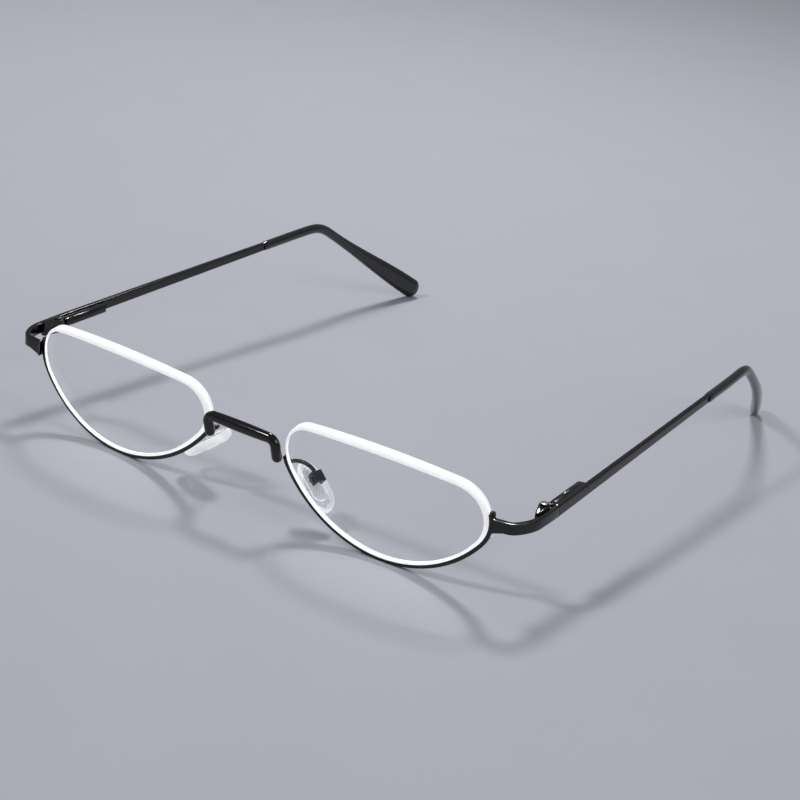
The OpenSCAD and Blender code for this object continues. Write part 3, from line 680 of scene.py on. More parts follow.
@dataclass(frozen=True)
class Finish:
    """A procedural finish: a colour that drifts, with fine grain in its roughness and its height."""

    name: str
    colour: Colour
    roughness: float
    metallic: float = 0.0
    drift: float = 0.08
    drift_size: float = 150.0
    grain: float = 900.0
    spread: float = 0.03
    relief: float = 0.004 * MM
    settings: tuple[tuple[str, object], ...] = ()
    lamp_share: float = 0.0
    glow: float = 0.0

    def build(self) -> bpy.types.Material:
        """Builds the material."""
        material = bpy.data.materials.new(self.name)
        material.use_nodes = True
        material.diffuse_color = (*self.colour, 1.0)
        tree = material.node_tree
        shader = tree.nodes["Principled BSDF"]
        for label, value in self.settings:
            shader.inputs[label].default_value = value
        shader.inputs["Metallic"].default_value = self.metallic
        place = add_node(tree, "ShaderNodeTexCoord").outputs["Object"]
        self.add_tone(tree, shader, place)
        self.add_wear(tree, shader, place)
        if self.lamp_share:
            self.let_lamps_through(tree, shader)
        if self.glow:
            self.let_light_through(tree, shader)
        return material

    def add_tone(self, tree: bpy.types.NodeTree, shader: bpy.types.Node, place: bpy.types.NodeSocket) -> None:
        """Feeds the drifting colour to the shader."""
        tone = add_node(
            tree,
            "ShaderNodeGroup",
            {"Vector": place, "Colour": (*self.colour, 1.0), "Size": self.drift_size, "Amount": self.drift},
            node_tree=Effects.get("tone_drift", build_tone_group),
        )
        tree.links.new(tone.outputs["Colour"], shader.inputs["Base Color"])

    def add_wear(self, tree: bpy.types.NodeTree, shader: bpy.types.Node, place: bpy.types.NodeSocket) -> None:
        """Feeds the grain to the shader's roughness and normal."""
        wear = add_node(
            tree,
            "ShaderNodeGroup",
            {"Vector": place, "Grain": self.grain, "Roughness": self.roughness, "Spread": self.spread},
            node_tree=Effects.get("fine_wear", build_wear_group),
        ).outputs
        tree.links.new(wear["Roughness"], shader.inputs["Roughness"])
        raised = {"Strength": 1.0, "Distance": self.relief, "Height": wear["Height"]}
        bump = add_node(tree, "ShaderNodeBump", raised)
        tree.links.new(bump.outputs["Normal"], shader.inputs["Normal"])

    def let_lamps_through(self, tree: bpy.types.NodeTree, shader: bpy.types.Node) -> None:
        """Lets the lamps shine through a clear surface onto what is behind it."""
        path = add_node(tree, "ShaderNodeLightPath").outputs
        passing = maths(tree, "MAXIMUM", path["Is Shadow Ray"], path["Is Diffuse Ray"])
        clear = add_node(tree, "ShaderNodeBsdfTransparent", {"Color": (*[self.lamp_share] * 3, 1.0)})
        self.mix_in(tree, shader, clear, passing)

    def let_light_through(self, tree: bpy.types.NodeTree, shader: bpy.types.Node) -> None:
        """Lets a share of the light behind a frosted surface scatter through it."""
        scatter = add_node(tree, "ShaderNodeBsdfTranslucent", {"Color": (*self.colour, 1.0)})
        self.mix_in(tree, shader, scatter, self.glow)

    def mix_in(
        self, tree: bpy.types.NodeTree, shader: bpy.types.Node, other: bpy.types.Node, share: object
    ) -> None:
        """Mixes a share of another shader into the surface."""
        parts = {"Fac": share, 1: shader.outputs["BSDF"], 2: other.outputs["BSDF"]}
        mix = add_node(tree, "ShaderNodeMixShader", parts)
        tree.links.new(mix.outputs["Shader"], tree.nodes["Material Output"].inputs["Surface"])


@dataclass(frozen=True)
class PolishedGlass(Finish):
    """A polished lens surface, which is clear all over."""

    def add_tone(self, tree: bpy.types.NodeTree, shader: bpy.types.Node, place: bpy.types.NodeSocket) -> None:
        """Sets the plain colour, because the glass is the same all over."""
        shader.inputs["Base Color"].default_value = (*self.colour, 1.0)

    def add_wear(self, tree: bpy.types.NodeTree, shader: bpy.types.Node, place: bpy.types.NodeSocket) -> None:
        """Sets the plain roughness of a polished surface."""
        shader.inputs["Roughness"].default_value = self.roughness


class Palette:
    """Every finish of the glasses, built once."""

    def __init__(self) -> None:
        """Builds the materials."""
        coat = (("Specular Tint", (0.5, 0.5, 0.5, 1.0)), ("Coat Weight", 0.8), ("Coat Roughness", 0.1))
        plated = {"metallic": 1.0, "settings": coat}
        self.metal = Finish("black_plating", (0.018, 0.016, 0.017), 0.15, **plated).build()
        self.arm = Finish("black_arm_plating", (0.021, 0.018, 0.018), 0.2, **plated).build()
        self.steel = Finish("screw_steel", (0.13, 0.13, 0.135), 0.3, metallic=1.0, spread=0.08).build()
        self.glass = PolishedGlass(
            "polished_lens",
            (0.985, 0.99, 1.0),
            0.0,
            settings=(("Transmission Weight", 1.0), ("IOR", 1.25)),
            lamp_share=0.95,
        ).build()
        # Painted glow: an emission that makes the ground lens edges, the nylon and the silicone outlines give
        # off light of their own, on top of their real white colour.
        painted_glow = (("Emission Color", (1.0, 1.0, 1.0, 1.0)), ("Emission Strength", 0.5))
        self.ground = Finish(
            "ground_lens_edge",
            (0.985, 0.985, 0.99),
            0.6,
            drift=0.015,
            relief=0.01 * MM,
            settings=painted_glow,
            glow=0.5,
        ).build()
        self.nylon = Finish(
            "nylon_line", (0.96, 0.97, 0.98), 0.3, drift=0.02, settings=painted_glow, glow=0.5
        ).build()
        self.silicone = Finish(
            "clear_silicone",
            (0.97, 0.98, 1.0),
            0.05,
            drift=0.02,
            grain=1400,
            relief=0.05 * MM,
            settings=(("Transmission Weight", 0.86), ("IOR", 1.41), ("Coat Weight", 0.6)),
            lamp_share=0.85,
        ).build()
        # Painted highlight: an opaque white that glows, put on the sides of the clear pads and cores as their
        # bright outline.
        self.outline_glow = Finish(
            "silicone_outline_painted_glow",
            (0.97, 0.975, 0.985),
            0.12,
            drift=0.03,
            grain=1400,
            relief=0.04 * MM,
            settings=painted_glow,
            glow=0.6,
        ).build()
        self.core = Finish(
            "pad_core_plastic",
            (0.96, 0.97, 1.0),
            0.1,
            drift=0.02,
            grain=2600,
            relief=0.05 * MM,
            settings=(("Transmission Weight", 0.75), ("IOR", 1.58)),
            lamp_share=0.8,
        ).build()
        self.plastic = Finish(
            "black_tip_plastic", (0.008, 0.008, 0.009), 0.12, spread=0.04, settings=(("Coat Weight", 0.3),)
        ).build()


# Sub-assemblies


@dataclass
class LensSet:
    """The lenses with their ground edges, the rims, the liners and the cords."""

    outline: HalfMoon
    stance: Stance
    palette: Palette
    rim_nasal_height: float = 2.2 * MM
    rim_temporal_end: float = math.radians(14)
    groove_width: float = 0.57 * MM
    groove_depth: float = 0.6 * MM
    band_width: float = 0.75 * MM
    band_depth: float = 0.5 * MM
    back_bevel: float = 0.3 * MM
    rim_thickness: float = 0.9 * MM
    rim_width: float = 1.4 * MM
    channel_depth: float = 0.4 * MM
    liner_width: float = 0.5 * MM
    cord_diameter: float = 0.5 * MM
    knob_r: float = 0.68 * MM
    knob_out: float = 0.72 * MM
    bead_r: float = 0.42 * MM
    bead_angle: float = math.radians(-17)
    bead_faces: tuple[int, int] = (24, 16)
    cord_sides: int = 12
    gap: float = 0.05 * MM
    shares: tuple[float, ...] = (0.03, 0.1, 0.2, 0.3, 0.4, 0.5, 0.6, 0.7, 0.8, 0.9, 0.95)
    polished_least: float = 0.9
    skin: float = 0.1 * MM
    rim_edge: float = 0.14 * MM
    liner_edge: float = 0.05 * MM

    def build(self) -> None:
        """Builds both sides of the lens set."""
        self.build_lens()
        self.build_rim()
        self.build_liner()
        self.build_cord()

    def rim_line(self) -> list[Station]:
        """Stations along the rim."""
        arcs = self.outline.rim_arcs(self.rim_nasal_height, self.rim_temporal_end)
        return self.outline.line(arcs)

    def cord_line(self) -> list[Station]:
        """Stations along the cord."""
        arcs = self.outline.cord_arcs(self.rim_nasal_height, self.rim_temporal_end)
        return self.outline.line(arcs)

    def build_lens(self) -> None:
        """Models the lens from the middle of its front over the grooved edge to the middle of its back."""
        shape = self.outline
        line = self.rim_line()[:-1] + self.cord_line()[:-1]
        half = self.groove_width / 2
        front = [[shape.front(s.u * k, s.v * k) for s in line] for k in self.shares]
        back = [[shape.back(s.u * k, s.v * k) for s in line] for k in reversed(self.shares)]
        edge = [
            [shape.front(s.u, s.v) for s in self.set_in(line, self.band_width)],
            [shape.front(s.u, s.v) + Vector((0, self.band_depth, 0)) for s in line],
            [shape.beside(s, 0, -half) for s in line],
            [shape.beside(s, -self.groove_depth, -half) for s in line],
            [shape.beside(s, -self.groove_depth, half) for s in line],
            [shape.beside(s, 0, half) for s in line],
            [shape.back(s.u, s.v) - Vector((0, self.back_bevel, 0)) for s in line],
            [shape.back(s.u, s.v) for s in self.set_in(line, self.back_bevel)],
        ]
        lens = loft("lens_left_dressed", front + edge + back)
        dress(lens, self.palette.glass, self.palette.ground)
        for face in lens.data.polygons:
            ground = abs(face.normal.y) < self.polished_least or self.in_groove(face.center)
            face.material_index = 1 if ground else 0
        hand_over_pair(lens, "lens", Body.FRONT, Slot.LENS, self.stance.lens(), smooth=28)

    def set_in(self, line: Sequence[Station], inset: float) -> list[Station]:
        """The same stations, set in from the lens edge."""
        return [
            Station(s.u - inset * math.cos(s.angle), s.v - inset * math.sin(s.angle), s.angle)
            for s in line
        ]

    def in_groove(self, point: Vector) -> bool:
        """Whether a point lies between the lens's polished surfaces, as the groove's walls do."""
        front = self.outline.front(point.x, point.z).y
        back = self.outline.back(point.x, point.z).y
        return front + self.skin < point.y < back - self.skin

    def strip(
        self, name: str, line: Sequence[Station], section: Sequence[tuple[float, float]]
    ) -> bpy.types.Object:
        """Models a strip along the lens edge from its section, as pairs outwards and back."""
        return loft(name, [[self.outline.beside(s, out, back) for out, back in section] for s in line])

    def build_rim(self) -> None:
        """Models the rim, a channel with round corners."""
        out = self.gap + self.rim_thickness
        deep = self.gap + self.channel_depth
        side = self.rim_width / 2
        slot = self.liner_width / 2 + self.gap
        section = [
            (self.gap, -side), (self.gap, -slot), (deep, -slot), (deep, slot),
            (self.gap, slot), (self.gap, side), (out, side), (out, -side),
        ]
        rim = self.strip("rim_left_dressed", self.rim_line(), section)
        knob = self.outline.beside(self.rim_line()[-1], self.knob_out, 0)
        combine(rim, ball(knob, self.knob_r, *self.bead_faces), "UNION")
        bevel(rim, self.rim_edge, segments=3, over=50)
        dress(rim, self.palette.metal)
        hand_over_pair(rim, "rim", Body.FRONT, Slot.METAL, self.stance.lens())

    def build_liner(self) -> None:
        """Models the nylon strip in the rim's channel and the lens's groove."""
        inner = self.gap - self.groove_depth
        outer = self.channel_depth
        half = self.liner_width / 2
        section = [(inner, -half), (inner, half), (outer, half), (outer, -half)]
        liner = self.strip("rim_liner_left_dressed", self.rim_line(), section)
        bevel(liner, self.liner_edge, over=50)
        dress(liner, self.palette.nylon)
        hand_over_pair(liner, "rim_liner", Body.FRONT, Slot.NYLON, self.stance.lens())

    def build_cord(self) -> None:
        """Models the nylon cord over the lens."""
        radius = self.cord_diameter / 2
        middle = self.gap + radius - self.groove_depth
        turns = [math.tau * j / self.cord_sides for j in range(self.cord_sides)]
        section = [(middle + radius * math.cos(a), radius * math.sin(a)) for a in turns]
        cord = self.strip("lens_cord_left_dressed", self.cord_line(), section)
        corner = Arc(self.outline.centres()["temporal"], self.outline.temporal_radius, 0, 0)
        bead = self.outline.beside(corner.station(self.bead_angle), self.gap + self.rim_thickness, 0)
        combine(cord, ball(bead, self.bead_r, *self.bead_faces), "UNION")
        dress(cord, self.palette.nylon)
        hand_over_pair(cord, "lens_cord", Body.FRONT, Slot.NYLON, self.stance.lens(), smooth=50)


@dataclass
class Bridge:
    """The bar over the nose, with a bend at each end and a leg beside each lens."""

    stance: Stance
    palette: Palette
    leg_x: float
    leg_end_y: float
    height: float = 6.6 * MM
    depth: float = 0.9 * MM
    bar_h: float = 2.3 * MM
    bar_w: float = 2.2 * MM
    bend_r: float = 1.8 * MM
    foot_z: float = 0.9 * MM
    swell: float = 0.13
    sides: int = 28

    def half_path(self) -> list[tuple[Vector, float]]:
        """Middle line from the nose's middle to the left foot, with the share of the full size."""
        corner = Vector((self.leg_x - self.bend_r, 0, self.height - self.bend_r))
        bend = [
            Vector((corner.x + self.bend_r * math.sin(a), self.depth, corner.z + self.bend_r * math.cos(a)))
            for a in sweep(0, math.pi / 2, 12)
        ]
        leg_r = self.bar_h / 2
        bar = [Vector((x, self.depth, self.height)) for x in sweep(0, corner.x, 6)[1:-1]]
        foot = [self.foot_z + leg_r * (1 - math.sin(a)) for a in sweep(0, math.pi / 2, 8)]
        leg = [Vector((self.leg_x, self.leg_end_y, z)) for z in foot]
        swollen = [(p, 1 + self.swell * (1 - (p.x / corner.x) ** 2)) for p in bar]
        return swollen + [(p, 1.0) for p in bend] + [(p, round_end(p.z - self.foot_z, leg_r)) for p in leg]

    def build(self) -> None:
        """Builds the bridge."""
        half = self.half_path()
        other = [(Vector((-p.x, p.y, p.z)), k) for p, k in reversed(half)]
        middle = [(Vector((0, self.depth, self.height)), 1 + self.swell)]
        path = other + middle + half
        sizes = [(self.bar_w * k, self.bar_h * k) for _, k in path]
        rings = oval_rings([p for p, _ in path], sizes, Vector((0, 1, 0)), self.sides)
        bar = loft("bridge_dressed", rings)
        dress(bar, self.palette.metal)
        settle(bar, self.stance.front(), smooth=50)
        hand_over(bar, Side.LEFT, "bridge", Body.FRONT, Slot.METAL)


@dataclass
class NosePads:
    """The nose pads with their cores, boxes, screws and wires."""

    stance: Stance
    palette: Palette
    frame: dict
    root: Vector
    length: float = 12.6 * MM
    width: float = 6.8 * MM
    thickness: float = 2.6 * MM
    fuller: float = 0.16
    core_l: float = 8.4 * MM
    core_w: float = 3.8 * MM
    core_t: float = 0.7 * MM
    tray_wall: float = 0.5 * MM
    tray_depth: float = 0.25 * MM
    tab_w: float = 1.2 * MM
    tab_r: float = 0.62 * MM
    tab_sink: float = 0.1 * MM
    screw_up: float = 1 * MM
    pin_x: float = 2.35 * MM
    pin_r: float = 0.39 * MM
    pin_l: float = 4 * MM
    box_middle: float = 2.85 * MM
    box_h: float = 2.6 * MM
    wire_d: float = 0.9 * MM
    wire_reach: float = 3.4 * MM
    wire_drop: float = 2.4 * MM
    gap: float = 0.05 * MM
    sides: int = 48
    shoulder: float = 0.9 * MM
    shoulder_in: float = 0.7 * MM
    crown: float = 3 * MM
    # How far a face may turn from the pad's faces and still get the painted bright outline.
    pad_outline_below: float = 0.9
    core_outline_below: float = 0.5
    core_edge: float = 0.05 * MM
    box: Rounded = Rounded("pad_box", Body.FRONT, Slot.METAL, 0.12 * MM, 3)
    screw: Rounded = Rounded("pad_screw", Body.FRONT, Slot.STEEL, 0.04 * MM)
    wire_edge: float = 0.08 * MM
    wire_lean: float = 0.6 * MM
    wire_steps: int = 40
    wire_sides: int = 20
    solder_swell: float = 0.28
    solder_steps: int = 4

    def build(self) -> None:
        """Builds both pads and what carries them."""
        self.build_pad()
        self.build_core()
        self.build_wire()
        for side in Side:
            self.box.build(self.frame, side, self.palette.metal)
            self.screw.build(self.frame, side, self.palette.steel)

    def pad_ring(self, x: float, grow: float) -> Ring:
        """The pad's outline, fuller at the bottom, grown by a distance."""
        half, tall = self.width / 2 + grow, self.length / 2 + grow
        turns = [math.tau * j / self.sides for j in range(self.sides)]
        return [
            Vector((x, half * math.cos(a) * (1 - self.fuller * math.sin(a)), tall * math.sin(a)))
            for a in turns
        ]

    def core_ring(self, x: float, grow: float) -> Ring:
        """The core's outline, a strip with round ends, grown by a distance."""
        run = (self.core_l - self.core_w) / 2
        radius = self.core_w / 2 + grow
        ring = []
        for j in range(self.sides):
            a = math.tau * (j + 0.5) / self.sides
            end = math.copysign(run, math.sin(a))
            ring.append(Vector((x, radius * math.cos(a), end + radius * math.sin(a) + self.screw_up / 2)))
        return ring

    def build_pad(self) -> None:
        """Models the pad from the floor of its pocket over the edge to the side that rests on the nose."""
        back = self.thickness / 2
        rings = [self.core_ring(back - self.core_t - self.gap, self.gap), self.core_ring(back, self.gap)]
        for a in sweep(0, math.pi / 2, 5):
            x = back - self.shoulder * (1 - math.cos(a))
            rings.append(self.pad_ring(x, -self.shoulder_in * (1 - math.sin(a))))
        for a in sweep(0, math.pi / 2, 10)[1:]:
            x = back - self.shoulder - (self.thickness - self.shoulder) * math.sin(a)
            rings.append(self.pad_ring(x, -self.crown * (1 - math.cos(a))))
        pad = loft("nose_pad_left_dressed", rings)
        dress(pad, self.palette.silicone, self.palette.outline_glow)
        # The pad's sides get the painted bright outline.
        self.paint_outline_glow(pad, self.pad_outline_below)
        hand_over_pair(pad, "nose_pad", Body.PAD, Slot.SILICONE, self.stance.pad(), smooth=40)

    def build_core(self) -> None:
        """Models the core: a tray with round ends and the drilled tab that stands in it."""
        back = self.thickness / 2
        floor = back - self.tray_depth
        core = loft(
            "pad_core_left_dressed",
            [
                self.core_ring(floor, -self.tray_wall),
                self.core_ring(back, -self.tray_wall),
                self.core_ring(back, 0),
                self.core_ring(back - self.core_t, 0),
            ],
        )
        combine(core, self.tab(floor - self.tab_sink), "UNION")
        pin = round_tool((self.pin_x, 0, self.screw_up), self.pin_r, self.pin_l, 32)
        combine(core, pin, "DIFFERENCE")
        bevel(core, self.core_edge, over=50)
        dress(core, self.palette.core, self.palette.outline_glow)
        # The core's sides get the painted bright outline.
        self.paint_outline_glow(core, self.core_outline_below)
        hand_over_pair(core, "pad_core", Body.PAD, Slot.CORE, self.stance.pad())

    def paint_outline_glow(self, piece: bpy.types.Object, lean: float) -> None:
        """Gives the faces that look sideways an opaque white that glows: a painted bright outline standing
        for the light that clear silicone refracts along its edge.
        """
        for face in piece.data.polygons:
            face.material_index = 1 if abs(face.normal.x) < lean else 0

    def tab(self, root: float) -> bpy.types.Object:
        """Models the tab, with its round end about the screw."""
        half = self.tab_w / 2
        turns = sweep(0, math.pi, 12)
        end = [(self.pin_x + self.tab_r * math.sin(a), -self.tab_r * math.cos(a)) for a in turns]
        outline = [(root, -self.tab_r)] + end + [(root, self.tab_r)]
        return loft("tab", [[Vector((x, y, z + self.screw_up)) for x, z in outline] for y in (-half, half)])

    def build_wire(self) -> None:
        """Models the wire from the rim round to the top of the pad box."""
        level = self.stance.worn().inverted() @ self.stance.pad()
        end = level @ Vector((self.box_middle, 0, self.screw_up + self.box_h / 2 + self.gap))
        up = level.to_3x3() @ Vector((0, 0, 1))
        out = self.root + Vector((-self.wire_lean, self.wire_reach, 0))
        turn = end + self.wire_drop * up
        path = []
        for t in sweep(0, 1, self.wire_steps):
            s = 1 - t
            path.append(s**3 * self.root + 3 * t * s * s * out + 3 * t * t * s * turn + t**3 * end)
        solder = [1 + self.solder_swell * (1 - ease(i / self.solder_steps)) for i in range(len(path))]
        sizes = [(self.wire_d * k, self.wire_d * k) for k in solder]
        wire = loft("pad_arm_left_dressed", oval_rings(path, sizes, Vector((1, 0, 1)), self.wire_sides))
        bevel(wire, self.wire_edge, over=50)
        dress(wire, self.palette.metal)
        hand_over_pair(wire, "pad_arm", Body.FRONT, Slot.METAL, self.stance.worn(), smooth=40)


@dataclass
class Hinges:
    """The endpieces, the hinge leaves and screws, the sliders and the spring boxes."""

    stance: Stance
    palette: Palette
    frame: dict
    rim_side_x: float
    stock_t: float = 1.2 * MM
    stock_in: float = 1.3 * MM
    end_h: float = 2.5 * MM
    root_h: float = 3.3 * MM
    root_drop: float = 0.7 * MM
    front_y: float = 3.8 * MM
    bend_r: float = 3 * MM
    sweep_r: float = 10.7 * MM
    turn: float = math.radians(51)
    butt_y: float = 2.2 * MM
    box_w: float = 2.05 * MM
    box_h: float = 2.1 * MM
    box_l: float = 14 * MM
    box_corner: float = 0.8 * MM
    box_front: float = 0.8 * MM
    slope_start: float = 0.84 * MM
    slope_angle: float = math.radians(35)
    rod_x: float = 0.3 * MM
    rod_r: float = 0.35 * MM
    chamber_r: float = 0.75 * MM
    chamber_l: float = 9.3 * MM
    gap: float = 0.05 * MM
    fillet: tuple[tuple[float, float], ...] = ((0, 0.2), (0.12, 0.1), (0.35, 0.03), (0.8, 0))
    stock_edge: float = 0.24 * MM
    leaf: Rounded = Rounded("hinge_leaf", Body.FRONT, Slot.METAL, 0.07 * MM)
    screw: Rounded = Rounded("hinge_screw", Body.SCREW, Slot.STEEL, 0.06 * MM)
    box_edge: float = 0.05 * MM
    cap_l: float = 1.5 * MM
    seam: float = 0.06 * MM
    rod_gap: float = 0.04 * MM
    mark_y: float = 6.2 * MM
    mark_r: float = 0.3 * MM
    mark_in: float = 1.2 * MM
    mark_up: float = 0.12 * MM

    def build(self) -> None:
        """Builds both sides' hinges."""
        self.build_endpiece()
        self.build_box()
        for side in Side:
            self.leaf.build(self.frame, side, self.palette.metal)
            self.screw.build(self.frame, side, self.palette.steel)
            self.dress_inner(side)

    def build_endpiece(self) -> None:
        """Models the flat stock from the rim round the bend to the butt joint."""
        hinge = self.stance.hinge
        outer_x = hinge.x + self.stock_in + self.stock_t
        more = self.sweep_r - self.bend_r
        turned = Vector((math.sin(self.turn), -math.cos(self.turn), 0))
        corner = Vector((outer_x - self.sweep_r + more * turned.x, self.front_y + self.bend_r, 0))
        start = self.rim_side_x + self.gap
        rings = []
        for distance, flare in self.fillet:
            x = start + distance * MM
            share = (x - start) / (corner.x - start)
            outer = Vector((x, self.front_y, 0))
            rings.append(self.stock_ring(outer, Vector((0, 1, 0)), 1 - share, flare * MM))
        for middle, radius, start_a, end_a in (
            (corner, self.bend_r, 0, self.turn),
            (corner - more * turned, self.sweep_r, self.turn, math.pi / 2),
        ):
            for a in sweep(start_a, end_a, 10)[:-1]:
                outward = Vector((math.sin(a), -math.cos(a), 0))
                rings.append(self.stock_ring(middle + radius * outward, -outward, 0, 0))
        rings.append(self.stock_ring(Vector((outer_x, hinge.y + self.butt_y, 0)), Vector((-1, 0, 0)), 0, 0))
        endpiece = loft("endpiece_left_dressed", rings)
        bevel(endpiece, self.stock_edge, segments=3, over=50)
        dress(endpiece, self.palette.metal)
        hand_over_pair(endpiece, "endpiece", Body.FRONT, Slot.METAL, self.stance.worn())

    def stock_ring(self, outer: Vector, inwards: Vector, root: float, flare: float) -> Ring:
        """Section of the flat stock.

        Args:
            outer: A point of the outer face.
            inwards: The direction from the outer face to the inner one.
            root: The share of the way to the rim's end, where the stock is higher and lower set.
            flare: How much the section is larger all round, at the solder joint.
        """
        half = (self.end_h + (self.root_h - self.end_h) * root) / 2 + flare
        middle = self.stance.hinge.z - self.root_drop * root
        near, far = outer - inwards * flare, outer + inwards * (self.stock_t + flare)
        corners = [(near, -half), (far, -half), (far, half), (near, half)]
        return [Vector((p.x, p.y, middle + z)) for p, z in corners]

    def dress_inner(self, side: Side) -> None:
        """Gives the moving steel pieces in a spring hinge their finish."""
        for node in ("hinge_slider", "slider_nut", "flex_spring"):
            dress(self.frame["nodes"][f"{node}_{side.value}"], self.palette.steel)

    def box_ring(self, y: float, shrink: float, sloped: bool = False) -> Ring:
        """Section of the spring box, whose two corners away from the temple are round."""
        inner, half = self.box_w - shrink, self.box_h / 2 - shrink
        r = self.box_corner
        outline = [(0.0, -half)]
        for middle, turn in ((-half + r, 1.5 * math.pi), (half - r, math.pi)):
            for a in sweep(turn, turn - math.pi / 2, 6):
                outline.append((-inner + r + r * math.cos(a), middle + r * math.sin(a)))
        outline.append((0.0, half))
        end = self.butt_y + self.gap + self.box_l
        ring = []
        for x, z in outline:
            slope = end - self.slope_start + (x + self.box_w) * math.tan(self.slope_angle)
            ring.append(Vector((self.stock_in + x, min(end, slope) if sloped else y, z)))
        return ring

    def build_box(self) -> None:
        """Models the spring box, with a seam behind its front cap, its chamber and a pin mark."""
        front = self.butt_y + self.gap
        seam = front + self.cap_l
        cut = self.seam
        rings = [self.box_ring(front, cut * 2), self.box_ring(front + cut * 2, 0)]
        rings += [self.box_ring(seam, 0), self.box_ring(seam + cut, cut)]
        rings += [self.box_ring(seam + 2 * cut, cut), self.box_ring(seam + 3 * cut, 0)]
        rings += [self.box_ring(0, 0, sloped=True)]
        box = loft("spring_box_left_dressed", rings)
        rod_bore = self.bore(self.rod_r + self.rod_gap, front - MM, self.box_front + 2 * MM)
        combine(box, rod_bore, "DIFFERENCE")
        combine(box, self.bore(self.chamber_r, front + self.box_front, self.chamber_l), "DIFFERENCE")
        mark = (self.stock_in - self.mark_in, front + self.mark_y, self.box_h / 2 + self.mark_up)
        combine(box, ball(mark, self.mark_r, 16, 10), "DIFFERENCE")
        bevel(box, self.box_edge, over=40)
        dress(box, self.palette.metal)
        hand_over_pair(box, "spring_box", Body.TEMPLE, Slot.METAL, self.stance.temple())

    def bore(self, radius: float, start: float, length: float) -> bpy.types.Object:
        """A round tool along the rod."""
        return round_tool((self.rod_x, start + length / 2, 0), radius, length, 40)


